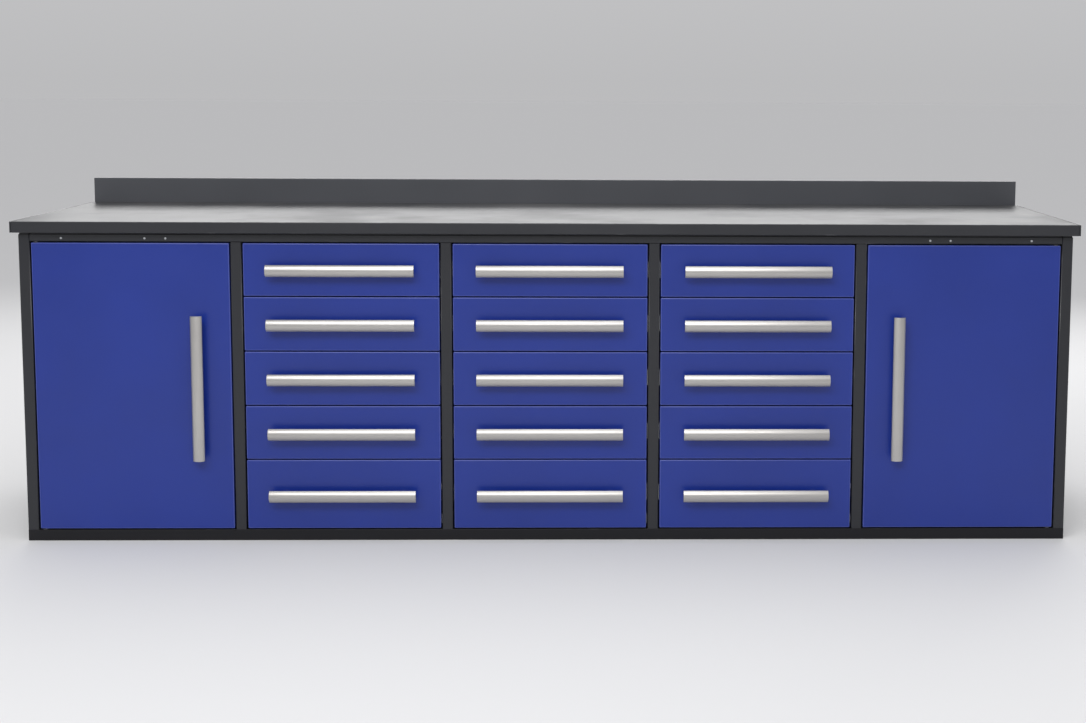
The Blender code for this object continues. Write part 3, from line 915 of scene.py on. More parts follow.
def finish_piece(name: str, mesh: bpy.types.Mesh, finish: Finish, body: str,
                 nodes: Sequence[str] = ()) -> bpy.types.Object:
    """Put a mesh in the scene as a finished piece.

    Args:
        name: The piece's name.
        mesh: Its mesh, already in place.
        finish: Its finish.
        body: The body that it moves with.
        nodes: The frame's nodes that it stands for.

    Returns:
        The piece.
    """
    piece = bpy.data.objects.new(name, mesh)
    bpy.context.scene.collection.objects.link(piece)
    mesh.materials.append(SHOP.material(finish))
    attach(piece, body)
    if nodes:
        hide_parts(*nodes)
    LOG.info("%s: %d faces, on %s", name, len(mesh.polygons), body)
    return piece


# ---------------------------------------------------------------- carcass
@dataclass
class Carcass:
    """Welded shell: base, end panels, dividers, rails, back, shelves.

    Attributes:
        sheet: Thickness of the shell's sheet.
        bend: Inner radius of its folds.
        post: Width and depth of a front post.
        seam: Slit where a post's fold meets its panel.
        rear_flange: Width of the flange at the back.
        base_rounding: Radius of the base's edges.
        base_return: Width of the base's flange underneath.
        base_sink: How deep the base is open underneath.
        foot_height: Height of the strips that close the joint on top of the base.
        foot_depth: Thickness of those strips.
        shelf_hem: Width of a shelf's turned rim.
        back_rounding: Rounding of the rear sheet's edges.
        least_field: Area above which a face of the rear sheet is a bay's.
        swage_depth: How far a bay's raised frame stands out.
        swage_width: Width of that frame.
        swage_border: Flat width outside it.
        screw_radius: Radius of a pan head at the back.
        screw_height: Height of the head.
        screw_pitch: Distance between two screws of a row.
        screw_start: Height of the lowest screw above the sheet's edge.
        screw_shift: Distance of a screw from the middle of a divider's post.
        screw_margin: Least distance of a screw under the backsplash.
        shadow_line: Height of the step under the worktop.
        shadow_depth: How far that step goes back.
        rivet_radius: Radius of a rivet on the front rail.
        rivet_dome: Thickness of its head.
        rivet_rounding: Rounding of the head.
        rivet_seat: Middle of the head before the rail's face.
        rivet_height: Height of the rivets above the rail's lower edge.
        catch_rivets: Distance between the two rivets of a catch.
        pivot_rivet: Distance of the third rivet from the pivot.
        body: The body that it all belongs to.
    """

    sheet: float = 0.0012
    bend: float = 0.0012
    post: float = 0.030
    seam: float = 0.0005
    rear_flange: float = 0.025
    base_rounding: float = 0.0012
    base_return: float = 0.020
    base_sink: float = 0.0015
    foot_height: float = 0.0100
    foot_depth: float = 0.0030
    shelf_hem: float = 0.010
    back_rounding: float = 0.0003
    least_field: float = 0.05
    swage_depth: float = 0.0030
    swage_width: float = 0.018
    swage_border: float = 0.090
    screw_radius: float = 0.0042
    screw_height: float = 0.0022
    screw_pitch: float = 0.150
    screw_start: float = 0.030
    screw_shift: float = 0.0065
    screw_margin: float = 0.010
    shadow_line: float = 0.0060
    shadow_depth: float = 0.0065
    rivet_radius: float = 0.0032
    rivet_dome: float = 0.0016
    rivet_rounding: float = 0.0007
    rivet_seat: float = 0.0002
    rivet_height: float = 0.0095
    catch_rivets: float = 0.055
    pivot_rivet: float = 0.068
    body: str = "carcass"

    def build(self) -> None:
        """Make every piece of the shell."""
        self.base()
        for side in Side:
            self.end_panel(side)
        for number in range(1, BAYS):
            self.divider(f"divider_{number}")
        self.rail("front_top_rail", forward=True)
        self.rail("rear_top_rail", forward=False)
        self.back()
        for name in ("left_shelf", "right_shelf"):
            self.shelf(name)

    def base(self) -> None:
        """Low closed platform that everything stands on."""
        room = Room.of("base_frame")
        shape = block(room.low, room.high, self.base_rounding)
        shape.recess((0, 0, -1), self.base_return, self.base_sink)
        # The base takes the darker paint: painted shade.
        finish_piece("base_platform", shape.mesh("base_platform"), SHADED_BASE_PAINT, self.body,
                     ["base_frame"])

    def end_panel(self, side: Side) -> None:
        """End wall with a folded box post in front and a flange at the rear.

        Args:
            side: The end that it closes.
        """
        node = side.name.lower() + "_side_panel"
        room = Room.of(node)
        outer = room.high.x if side is Side.RIGHT else room.low.x
        inward = -side.value
        front, rear, bottom = room.low.y, room.high.y, room.low.z
        line = [
            (outer + inward * (self.sheet + self.seam), front + self.post, bottom),
            (outer + inward * self.post, front + self.post, bottom),
            (outer + inward * self.post, front, bottom),
            (outer, front, bottom),
            (outer, rear, bottom),
            (outer + inward * self.rear_flange, rear, bottom)]
        if side is Side.LEFT:
            line.reverse()
        shape = fold(line, (0, 0, room.size.z), self.sheet, self.bend + self.sheet)
        shape.step_back(front, room.high.z - self.shadow_line, self.shadow_depth)
        base = Room.of("base_frame")
        near, far = sorted((outer + inward * (self.sheet - GAP / 2),
                            outer + inward * (self.sheet + self.foot_depth)))
        shape.join(block((near, front + self.post + self.foot_depth, base.high.z - GAP),
                         (far, rear - self.foot_depth, base.high.z + self.foot_height)))
        finish_piece(side.name.lower() + "_end_panel", shape.mesh(node), CHARCOAL, self.body,
                     [node])

    def divider(self, node: str) -> None:
        """Upright sheet between two bays, behind a folded box post.

        Args:
            node: The divider's node.
        """
        room = Room.of(node)
        x = room.high.x - self.post / 2
        half_post, half_sheet = self.post / 2, self.sheet / 2
        front, rear, bottom = room.low.y, room.high.y, room.low.z
        line = [
            (x - half_sheet - self.seam, front + self.post, bottom),
            (x - half_post, front + self.post, bottom),
            (x - half_post, front, bottom),
            (x + half_post, front, bottom),
            (x + half_post, front + self.post, bottom),
            (x + half_sheet, front + self.post, bottom),
            (x + half_sheet, rear, bottom),
            (x + half_sheet - self.rear_flange, rear, bottom)]
        shape = fold(line, (0, 0, room.size.z), self.sheet, self.bend + self.sheet)
        finish_piece(node + "_folded", shape.mesh(node), CHARCOAL, self.body, [node])

    def rail(self, node: str, forward: bool) -> None:
        """Channel under the worktop.

        Args:
            node: The rail's node.
            forward: Whether its web is at the front or at the back.
        """
        room = Room.of(node)
        web, lip = (room.low.y, room.high.y) if forward else (room.high.y, room.low.y)
        low, high, start = room.low.z, room.high.z, room.low.x
        line = [(start, lip, low), (start, web, low), (start, web, high), (start, lip, high)]
        if forward:
            line.reverse()
        shape = fold(line, (room.size.x, 0, 0), self.sheet, self.bend + self.sheet)
        if forward:
            shape.step_back(room.low.y, room.high.z - self.shadow_line, self.shadow_depth)
        finish_piece(node + "_folded", shape.mesh(node), CHARCOAL, self.body, [node])
        if forward:
            self.rail_rivets(room)

    def rail_rivets(self, rail: Room) -> None:
        """Domed rivets on the front rail that hold each door's catch and upper pivot plate.

        Args:
            rail: The front rail's box.
        """
        made = Stock()
        height = rail.low.z + self.rivet_height
        for name, side in BAY_DOORS.items():
            catch = Room.of(name + "_catch").centre.x
            pivot = Room.of(name + "_upper_pivot").centre.x
            for x in (catch - self.catch_rivets / 2, catch + self.catch_rivets / 2,
                      pivot - side.value * self.pivot_rivet):
                made.join(rod((x, rail.low.y - self.rivet_seat, height), self.rivet_radius,
                              self.rivet_dome, "Y", 16, self.rivet_rounding))
        finish_piece("rail_rivets", made.mesh("rail_rivets"), ZINC, self.body)

    def back(self) -> None:
        """Rear sheet with pressed fields and a foot strip, and the screws that hold it."""
        room = Room.of("back_panel")
        shape = block(room.low, room.high, self.back_rounding, 1)
        pitch = (room.size.x - self.post) / BAYS
        for index in range(1, BAYS):
            x = room.low.x + self.post / 2 + index * pitch
            shape.cut((x, 0, 0), (1, 0, 0))
        self.press_fields(shape, (0, 1, 0))
        self.press_fields(shape, (0, -1, 0))
        base = Room.of("base_frame")
        shape.join(block(
            (room.low.x + self.foot_depth, room.low.y - self.foot_depth, base.high.z - GAP),
            (room.high.x - self.foot_depth, room.low.y + GAP / 2, base.high.z + self.foot_height)))
        finish_piece("rear_sheet", shape.mesh("rear_sheet"), CHARCOAL, self.body, ["back_panel"])
        self.back_screws(room, pitch)

    def press_fields(self, shape: Stock, normal: Point) -> None:
        """Press a raised frame into every bay of the rear sheet, backwards.

        Args:
            shape: The rear sheet.
            normal: The face that is worked, outside or inside.
        """
        shape.shape.normal_update()
        way = Vector(normal)
        fields = [f for f in shape.shape.faces
                  if f.normal.dot(way) > 0.99 and f.calc_area() > self.least_field]
        rise = self.swage_depth * way.y
        for field_face in fields:
            bmesh.ops.inset_region(shape.shape, faces=[field_face], thickness=self.swage_border)
            bmesh.ops.inset_region(shape.shape, faces=[field_face], thickness=self.swage_depth,
                                   depth=rise)
            bmesh.ops.inset_region(shape.shape, faces=[field_face], thickness=self.swage_width)
            bmesh.ops.inset_region(shape.shape, faces=[field_face], thickness=self.swage_depth,
                                   depth=-rise)

    def back_screws(self, room: Room, pitch: float) -> None:
        """Pan heads in rows up each upright.

        Args:
            room: The rear sheet's box.
            pitch: Distance from one upright to the next.
        """
        heads = Stock()
        backsplash_bottom = Room.of("backsplash").low.z
        rows = int((backsplash_bottom - room.low.z) / self.screw_pitch)
        for upright in range(BAYS + 1):
            shift = self.screw_shift if 0 < upright < BAYS else 0
            x = room.low.x + self.post / 2 + upright * pitch - shift
            for row in range(rows + 1):
                z = room.low.z + self.screw_start + row * self.screw_pitch
                if z < backsplash_bottom - self.screw_margin:
                    heads.join(screw_head((x, room.high.y, z), self.screw_radius,
                                          self.screw_height, 1))
        finish_piece("rear_sheet_screws", heads.mesh("rear_sheet_screws"), ZINC, self.body)

    def shelf(self, node: str) -> None:
        """Fixed shelf with all its edges folded down.

        Args:
            node: The shelf's node.
        """
        room = Room.of(node)
        shape = open_tray(room.low, room.high, self.sheet, self.bend + self.sheet, self.shelf_hem,
                          open_up=False)
        finish_piece(node + "_folded", shape.mesh(node), CHARCOAL, self.body, [node])


# ---------------------------------------------------------------- top
@dataclass
class Top:
    """Worktop casing and the backsplash behind it.

    Attributes:
        rounding: Radius of the casing's folds.
        seam: Width of the joint between the long sheet and an end cap.
        cap: Thickness of an end cap.
        cap_rounding: Radius of the end cap's folds.
        bridge_inset: How far the joint is sunk.
        worktop_return: Width of the worktop's flange underneath.
        worktop_sink: How deep the worktop is open underneath.
        splash_return: Width of the backsplash's flange at the rear.
        splash_sink: How deep the backsplash is open at the rear.
        body: The body that it belongs to.
    """

    rounding: float = 0.0022
    seam: float = 0.0006
    cap: float = 0.0030
    cap_rounding: float = 0.00132
    bridge_inset: float = 0.0015
    worktop_return: float = 0.016
    worktop_sink: float = 0.0010
    splash_return: float = 0.014
    splash_sink: float = 0.0020
    body: str = "carcass"

    def build(self) -> None:
        """Make both casings."""
        self.worktop()
        self.backsplash()

    def worktop(self) -> None:
        """Long casing that overhangs the shell."""
        room = Room.of("worktop")
        inset = Vector((self.cap + self.seam, 0, 0))
        shape = block(room.low + inset, room.high - inset, self.rounding)
        shape.recess((0, 0, -1), self.worktop_return, self.worktop_sink)
        finish_piece("worktop_casing", shape.mesh("worktop_casing"), WORKTOP_PAINT, self.body,
                     ["worktop"])
        caps = Stock()
        for outer in (room.low.x, room.high.x - self.cap):
            caps.join(block((outer, room.low.y, room.low.z),
                            (outer + self.cap, room.high.y, room.high.z), self.cap_rounding))
            bridge = outer + self.cap if outer < 0 else outer - self.seam
            low = (bridge, room.low.y + self.bridge_inset, room.low.z + self.bridge_inset)
            high = (bridge + self.seam, room.high.y - self.bridge_inset,
                    room.high.z - self.bridge_inset)
            caps.join(block(low, high))
        finish_piece("worktop_end_caps", caps.mesh("worktop_end_caps"), WORKTOP_PAINT, self.body)

    def backsplash(self) -> None:
        """Low upright casing, its rear face sunk behind a flange."""
        room = Room.of("backsplash")
        shape = block(room.low, room.high, self.rounding)
        shape.recess((0, 1, 0), self.splash_return, self.splash_sink)
        finish_piece("backsplash_casing", shape.mesh("backsplash_casing"), SPLASH_PAINT, self.body,
                     ["backsplash"])


# ---------------------------------------------------------------- handles
@dataclass
class BarHandle:
    """Crowned aluminium bar on two round feet.

    Attributes:
        crown: How far the bar's face bulges past its long edges.
        edge: Thickness at the long edges.
        rounding: Rounding of the bar's edges.
        foot_inset: Middle of a foot from the bar's end.
        foot_radius: Radius of a foot.
        foot_rounding: Rounding of its rims.
        washer: Thickness of the washer under a foot.
        washer_brim: How far the washer reaches past the foot.
        washer_rounding: Rounding of its rims.
        facets: Faces of the full round that the bar's face is part of.
        foot_sides: Faces round a foot.
    """

    crown: float = 0.0082
    edge: float = 0.0018
    rounding: float = 0.0008
    foot_inset: float = 0.037
    foot_radius: float = 0.008
    foot_rounding: float = 0.0008
    washer: float = 0.0016
    washer_brim: float = 0.0012
    washer_rounding: float = 0.0004
    facets: int = 96
    foot_sides: int = 32

    def shape(self, room: Room, upright: bool) -> Stock:
        """Shape the bar and its feet where the frame has them.

        Args:
            room: The handle's box.
            upright: Whether it stands upright, as on a door.

        Returns:
            The shape.
        """
        length = room.size.z if upright else room.size.x
        half = (room.size.x if upright else room.size.z) / 2
        radius = (half ** 2 + self.crown ** 2) / (2 * self.crown)
        made = Stock()
        shape = made.shape
        bmesh.ops.create_cone(shape, cap_ends=True, segments=self.facets, radius1=radius,
                              radius2=radius, depth=length)
        made.turn(90, "Y")
        for face in shape.faces:
            face.smooth = len(face.verts) == 4
        back = radius - self.crown - self.edge
        cuts = (((0, 0, half), (0, 0, 1)), ((0, 0, -half), (0, 0, -1)), ((0, -back, 0), (0, 1, 0)))
        for point, normal in cuts:
            cut = bmesh.ops.bisect_plane(shape, geom=made.everything(), plane_co=point,
                                         plane_no=normal, clear_outer=True)["geom_cut"]
            ring = [item for item in cut if isinstance(item, bmesh.types.BMEdge)]
            bmesh.ops.edgeloop_fill(shape, edges=ring)
        made.round_edges(made.sharp_edges(30), self.rounding, 4)
        made.move((0, room.low.y + radius, 0))
        foot_front = room.low.y + self.crown + self.edge / 2
        foot_length = room.high.y - foot_front
        reach = length / 2 - self.foot_inset
        for way in (-1, 1):
            place = (way * reach, foot_front + foot_length / 2, 0)
            made.join(rod(place, self.foot_radius, foot_length, "Y", self.foot_sides,
                          self.foot_rounding))
            seat = (way * reach, room.high.y - self.washer / 2, 0)
            made.join(rod(seat, self.foot_radius + self.washer_brim, self.washer, "Y",
                          self.foot_sides, self.washer_rounding))
        if upright:
            made.turn(90, "Y")
        return made.move((room.centre.x, 0, room.centre.z))

    def fit(self, node: str, body: str, upright: bool = False) -> None:
        """Make the handle of one front.

        Args:
            node: The handle's node.
            body: The body that it moves with.
            upright: Whether it stands upright.
        """
        mesh = self.shape(Room.of(node), upright).mesh(node)
        finish_piece(node.replace("_handle", "_bar_handle"), mesh,
                     UPRIGHT_ALUMINIUM if upright else BAR_ALUMINIUM, body, [node])


# ---------------------------------------------------------------- slides
@dataclass
class BallSlide:
    """Two-member ball-bearing slide between a runner panel and a tray.

    Attributes:
        depth: Both members together.
        height: Height of the outer member.
        lip: Width of its turned lips.
        sheet: Thickness of both members.
        running: Play between the members.
        front_room: Behind the drawer's front.
        rear_room: Before the tray's end.
        weld: How far the outer member's web is let into its panel.
        outer_bend: Radius of the outer member's folds.
        inner_bend: Radius of the inner member's folds.
        ball_radius: Radius of a ball.
        ball_offset: Middle of the balls from the panel's face.
        balls: Balls in each of the two rows.
        ball_margin: First and last ball from the cage's ends.
        cage_length: Length of the ball cage.
        cage_start: Cage behind the front end of the outer member.
        cage_faces: Both faces of the cage from the panel's face.
        cage_rounding: Rounding of the cage's edges.
        rivets: Rivets that hold the inner member.
        rivet_radius: Radius of a rivet's head.
        rivet_dome: Thickness of the head.
        rivet_rounding: Rounding of the head.
    """

    depth: float = 0.0127
    height: float = 0.045
    lip: float = 0.004
    sheet: float = 0.0012
    running: float = 0.002
    front_room: float = 0.003
    rear_room: float = 0.010
    weld: float = 0.0006
    outer_bend: float = 0.0016
    inner_bend: float = 0.0014
    ball_radius: float = 0.0021
    ball_offset: float = 0.0050
    balls: int = 7
    ball_margin: float = 0.008
    cage_length: float = 0.125
    cage_start: float = 0.004
    cage_faces: tuple[float, float] = (0.0018, 0.0026)
    cage_rounding: float = 0.0003
    rivets: int = 3
    rivet_radius: float = 0.0042
    rivet_dome: float = 0.0012
    rivet_rounding: float = 0.0005

    def outer(self, side: Side, face: float, start: float, end: float, height: float) -> Stock:
        """Outer member: a lipped channel on the runner panel.

        Args:
            side: The side of the drawer that it is on.
            face: X of the runner panel's face.
            start: Y where it begins.
            end: Y where it ends.
            height: Z of its middle.

        Returns:
            The shape.
        """
        way = side.value
        web = face + way * self.weld
        tip = face - way * (self.depth - self.running / 2 + GAP)
        half = self.height / 2
        line = [
            (tip, start, height + half - self.lip), (tip, start, height + half),
            (web, start, height + half), (web, start, height - half),
            (tip, start, height - half), (tip, start, height - half + self.lip)]
        if side is Side.LEFT:
            line.reverse()
        made = fold(line, (0, end - start, 0), self.sheet, self.outer_bend, 2)
        return made.join(self.cage(side, face, start, height))

    def cage(self, side: Side, face: float, start: float, height: float) -> Stock:
        """Ball cage in the mouth of the outer member.

        Args:
            side: The side of the drawer that it is on.
            face: X of the runner panel's face.
            start: Y where the outer member begins.
            height: Z of its middle.

        Returns:
            The shape.
        """
        way = side.value
        row = self.height / 2 - self.sheet - self.ball_radius - GAP
        near, far = sorted(face - way * distance for distance in self.cage_faces)
        begin = start + self.cage_start
        made = block((near, begin, height - row), (far, begin + self.cage_length, height + row),
                     self.cage_rounding, 1)
        step = (self.cage_length - 2 * self.ball_margin) / (self.balls - 1)
        for index in range(self.balls):
            for level in (-1, 1):
                ball = Stock()
                bmesh.ops.create_uvsphere(ball.shape, u_segments=10, v_segments=6,
                                          radius=self.ball_radius)
                for round_face in ball.shape.faces:
                    round_face.smooth = True
                made.join(ball.move((face - way * self.ball_offset,
                                     begin + self.ball_margin + index * step,
                                     height + level * row)))
        return made

    def inner(self, side: Side, face: float, wall: float, start: float, end: float,
              height: float) -> Stock:
        """Inner member: a channel riveted to the tray's wall.

        Args:
            side: The side of the drawer that it is on.
            face: X of the runner panel's face.
            wall: X of the tray's outer wall.
            start: Y where it begins.
            end: Y where it ends.
            height: Z of its middle.

        Returns:
            The shape.
        """
        way = side.value
        half = self.height / 2 - self.lip - self.running
        tip = face - way * self.lip
        line = [(tip, start, height - half), (wall, start, height - half),
                (wall, start, height + half), (tip, start, height + half)]
        if side is Side.LEFT:
            line.reverse()
        made = fold(line, (0, end - start, 0), self.sheet, self.inner_bend, 2)
        for index in range(self.rivets):
            y = start + (end - start) * (index + 0.5) / self.rivets
            place = (wall + way * (self.sheet + self.rivet_dome / 2), y, height)
            made.join(rod(place, self.rivet_radius, self.rivet_dome, "X", 16, self.rivet_rounding))
        return made


# ---------------------------------------------------------------- drawers
@dataclass
class DrawerStack:
    """One column of drawers with its pair of runner panels.

    Attributes:
        column: Name that the column's drawers share.
        handle: Handle of each drawer.
        slide: Slide on each side of a drawer.
        front_thickness: Thickness of a folded front.
        front_rounding: Radius of its folds.
        front_return: Width of the flange behind it.
        front_sink: How deep its rear face is sunk.
        tray_sheet: Thickness of a tray.
        tray_bend: Radius of its folds.
        floor_rise: Tray floor above the front's lower edge.
        top_drop: Tray rim below the front's upper edge.
        hem: Width of the tray's turned rim.
        weld: How far the tray is let into the front.
        panel_sheet: Thickness of a runner panel.
        panel_bend: Radius of its folds.
        screw_radius: Radius of the head of a handle's screw.
        screw_height: Height of that head.
        tab_heights: Lower and upper end of each tab, from the bottom front's lower edge.
        tab_faces: Both faces of a tab, from the side of the front.
        tab_reach: Front and rear end of a tab, from the face of the front.
        tab_rounding: Rounding of a tab's edges.
    """

    column: str
    handle: BarHandle = field(default_factory=BarHandle)
    slide: BallSlide = field(default_factory=BallSlide)
    front_thickness: float = 0.018
    front_rounding: float = 0.0026
    front_return: float = 0.010
    front_sink: float = 0.0008
    tray_sheet: float = 0.001
    tray_bend: float = 0.0022
    floor_rise: float = 0.012
    top_drop: float = 0.030
    hem: float = 0.005
    weld: float = 0.0006
    panel_sheet: float = 0.0012
    panel_bend: float = 0.0020
    screw_radius: float = 0.0048
    screw_height: float = 0.0026
    tab_heights: tuple[tuple[float, float], ...] = ((0.012, 0.036), (0.108, 0.122))
    tab_faces: tuple[float, float] = (0.0008, 0.0020)
    tab_reach: tuple[float, float] = (0.0060, 0.0280)
    tab_rounding: float = 0.0004

    def build(self) -> None:
        """Make the runner panels and every drawer."""
        self.runner_panels()
        for number in range(1, DRAWERS_PER_COLUMN + 1):
            self.drawer(f"{self.column}_{number}")

    def drawer_rooms(self) -> list[Room]:
        """Boxes of the column's drawers, from the top down."""
        return [Room.of(f"{self.column}_{number}") for number in range(1, DRAWERS_PER_COLUMN + 1)]

    def panel_face(self, side: Side) -> float:
        """Find the face of a runner panel that the outer slide members sit on.

        Args:
            side: The side of the column that the panel is on.

        Returns:
            X of that face.
        """
        room = Room.of(f"{self.column}_runner_panel_{side.name.lower()}")
        way = side.value
        inner_tip = room.low.x if side is Side.RIGHT else room.high.x
        return inner_tip + way * (self.slide.depth - self.slide.running / 2 + GAP)

    def runner_panels(self) -> None:
        """Carrier sheets with the column's outer slide members."""
        rooms = self.drawer_rooms()
        for side in Side:
            node = f"{self.column}_runner_panel_{side.name.lower()}"
            room = Room.of(node)
            face = self.panel_face(side)
            foot = room.high.x if side is Side.RIGHT else room.low.x
            line = [(foot, room.low.y, room.low.z), (face, room.low.y, room.low.z),
                    (face, room.high.y, room.low.z), (foot, room.high.y, room.low.z)]
            if side is Side.RIGHT:
                line.reverse()
            panel = fold(line, (0, 0, room.size.z), self.panel_sheet, self.panel_bend)
            finish_piece(node + "_sheet", panel.mesh(node), CHARCOAL, "carcass", [node])
            members = Stock()
            for drawer_room in rooms:
                start = drawer_room.low.y + self.front_thickness + self.slide.front_room
                end = drawer_room.high.y - self.slide.rear_room
                members.join(self.slide.outer(side, face, start, end, drawer_room.centre.z))
            if side is Side.RIGHT:
                self.add_tabs(members, rooms[-1])
            finish_piece(node + "_slides", members.mesh(node + "_slides"), ZINC, "carcass")

    def add_tabs(self, members: Stock, bottom: Room) -> None:
        """Plated retaining tabs in the gap between the bottom front and its post.

        Args:
            members: The slide members that the tabs belong to.
            bottom: The bottom drawer's box.
        """
        corner = Vector((bottom.high.x, bottom.low.y, bottom.low.z))
        for low, high in self.tab_heights:
            first, last = zip(self.tab_faces, self.tab_reach, (low, high))
            members.join(block(corner + Vector(first), corner + Vector(last),
                               self.tab_rounding, 2))

    def drawer(self, node: str) -> None:
        """One drawer: front, tray, inner slide members and handle.

        Args:
            node: The drawer's node, which is also its body.
        """
        room = Room.of(node)
        front = block(room.low, (room.high.x, room.low.y + self.front_thickness, room.high.z),
                      self.front_rounding)
        front.recess((0, 1, 0), self.front_return, self.front_sink)
        wall_room = GAP + self.slide.depth
        left = self.panel_face(Side.LEFT) + wall_room
        right = self.panel_face(Side.RIGHT) - wall_room
        start = room.low.y + self.front_thickness - self.weld
        tray = open_tray((left, start, room.low.z + self.floor_rise),
                         (right, room.high.y, room.high.z - self.top_drop),
                         self.tray_sheet, self.tray_bend, self.hem)
        front.join(tray)
        finish_piece(node + "_box", front.mesh(node), BLUE, node, [node])
        members = Stock()
        slide_start = room.low.y + self.front_thickness + self.slide.front_room
        slide_end = room.high.y - self.slide.rear_room
        for side, wall in ((Side.LEFT, left), (Side.RIGHT, right)):
            members.join(self.slide.inner(side, self.panel_face(side), wall, slide_start,
                                          slide_end, room.centre.z))
        grip = Room.of(node + "_handle")
        reach = grip.size.x / 2 - self.handle.foot_inset
        seat = start + self.tray_sheet
        for way in (-1, 1):
            place = (grip.centre.x + way * reach, seat + self.weld, grip.centre.z)
            members.join(screw_head(place, self.screw_radius, self.screw_height, 1))
        finish_piece(node + "_slides", members.mesh(node + "_slides"), ZINC, node)
        self.handle.fit(node + "_handle", node)


# ---------------------------------------------------------------- doors
@dataclass
class CupboardDoor:
    """Double-skinned door with its handle, pivots and magnetic catch.

    Attributes:
        name: The door's node and body.
        handle: Its handle.
        rounding: Radius of its folds.
        liner_border: Width of the outer pan's return round the inner skin.
        liner_sink: How deep the inner skin sits.
        screw_radius: Radius of the head of a handle's screw.
        pin_radius: Radius of a pivot pin.
        pin_tip: Length of the pin's tapered tip.
        collar: Half the thickness of the pin's collar.
        collar_rounding: How far the collar's edge is broken.
        catch_step: How far the catch's poles stand before its housing.
        catch_rounding: Rounding of the housing.
        pole: Thickness of a pole.
        pole_reach: Half the length of a pole.
        pole_shares: Places of the poles, as shares of the housing's height from the top.
        pole_rounding: Rounding of a pole's edges.
    """

    name: str
    handle: BarHandle = field(default_factory=BarHandle)
    rounding: float = 0.0026
    liner_border: float = 0.022
    liner_sink: float = 0.0010
    screw_radius: float = 0.0048
    pin_radius: float = 0.004
    pin_tip: float = 0.001
    collar: float = 0.0012
    collar_rounding: float = 0.0003
    catch_step: float = 0.002
    catch_rounding: float = 0.0010
    pole: float = 0.003
    pole_reach: float = 0.018
    pole_shares: tuple[float, float] = (0.3, 0.7)
    pole_rounding: float = 0.0003

    def build(self) -> None:
        """Make the door and all that goes with it."""
        self.leaf()
        self.handle.fit(self.name + "_handle", self.name, upright=True)
        self.pivots()
        self.catch()

    def leaf(self) -> None:
        """Folded outer pan with the inner skin set into it."""
        room = Room.of(self.name)
        shape = block(room.low, room.high, self.rounding)
        shape.recess((0, 1, 0), self.liner_border, self.liner_sink)
        finish_piece(self.name + "_leaf", shape.mesh(self.name), BLUE, self.name, [self.name])
        self.fittings(room)

    def fittings(self, room: Room) -> None:
        """Screws of the handle, on the inner skin.

        Args:
            room: The door's box.
        """
        grip = Room.of(self.name + "_handle")
        reach = grip.size.z / 2 - self.handle.foot_inset
        seat = room.high.y - self.liner_sink
        made = Stock()
        for way in (-1, 1):
            made.join(screw_head((grip.centre.x, seat, grip.centre.z + way * reach),
                                 self.screw_radius, self.liner_sink - GAP / 2, 1))
        finish_piece(self.name + "_fittings", made.mesh(self.name + "_fittings"), ZINC, self.name)

    def pivots(self) -> None:
        """Turned pins that the door hangs and turns on."""
        for end in ("lower", "upper"):
            node = f"{self.name}_{end}_pivot"
            room = Room.of(node)
            half, brim = room.size.z / 2, room.size.x / 2
            pin, tip, collar = self.pin_radius, self.pin_tip, self.collar
            upper = [(brim, 0.0), (brim, collar - self.collar_rounding),
                     (brim - self.collar_rounding, collar), (pin, collar), (pin, half - tip),
                     (pin - tip / 3, half - tip / 3), (pin - tip, half), (0.0, half)]
            lower = [(r, -h) for r, h in reversed(upper)]
            shape = turned(lower + upper[1:], room.centre)
            # The pins take a near-black colour: painted shade for the dark gaps round the door.
            finish_piece(node + "_pin", shape.mesh(node), SHADED_PIN_STEEL, "carcass", [node])

    def catch(self) -> None:
        """Magnetic catch: a plastic housing with two steel poles."""
        node = self.name + "_catch"
        room = Room.of(node)
        housing = block((room.low.x, room.low.y + self.catch_step, room.low.z), room.high,
                        self.catch_rounding)
        finish_piece(node + "_housing", housing.mesh(node), BLACK, "carcass", [node])
        poles = Stock()
        for share in self.pole_shares:
            z = room.high.z - share * room.size.z
            poles.join(block(
                (room.centre.x - self.pole_reach, room.low.y, z - self.pole / 2),
                (room.centre.x + self.pole_reach, room.centre.y, z + self.pole / 2),
                self.pole_rounding, 1))
        finish_piece(node + "_poles", poles.mesh(node + "_poles"), ZINC, "carcass")


# ---------------------------------------------------------------- studio
@dataclass(frozen=True)
class Viewpoint:
    """Where the camera stands and how it looks.

    Attributes:
        place: Its position; Y is measured from the frame's front.
        yaw: Turn towards +X, in radians.
        pitch: Tilt downwards, in radians.
        roll: Turn about its own axis, in radians.
        sensor: Width of the sensor, in millimetres.
        lens: Focal length, in millimetres.
        shift: Shift of the lens, in widths of the picture.
    """

    place: tuple[float, float, float] = (0.16513, -4.01546, 1.25341)
    yaw: float = 0.02544
    pitch: float = 0.09956
    roll: float = 0.00591
    sensor: float = 36.0
    lens: float = 49.866
    shift: tuple[float, float] = (-0.09853, -0.12109)

    def build(self, front: float) -> None:
        """Add the camera.

        Args:
            front: Y of the frame's front.
        """
        lens = bpy.data.cameras.new("camera")
        lens.sensor_width = self.sensor
        lens.lens = self.lens
        lens.shift_x, lens.shift_y = self.shift
        camera = bpy.data.objects.new("camera", lens)
        bpy.context.scene.collection.objects.link(camera)
        forward = Vector((sin(self.yaw) * cos(self.pitch), cos(self.yaw) * cos(self.pitch),
                          -sin(self.pitch)))
        level = Vector((cos(self.yaw), -sin(self.yaw), 0))
        above = level.cross(forward)
        right = level * cos(self.roll) + above * sin(self.roll)
        up = above * cos(self.roll) - level * sin(self.roll)
        turn = Matrix((right, up, -forward)).transposed().to_4x4()
        x, y, z = self.place
        camera.matrix_world = Matrix.Translation((x, front + y, z)) @ turn
        bpy.context.scene.camera = camera


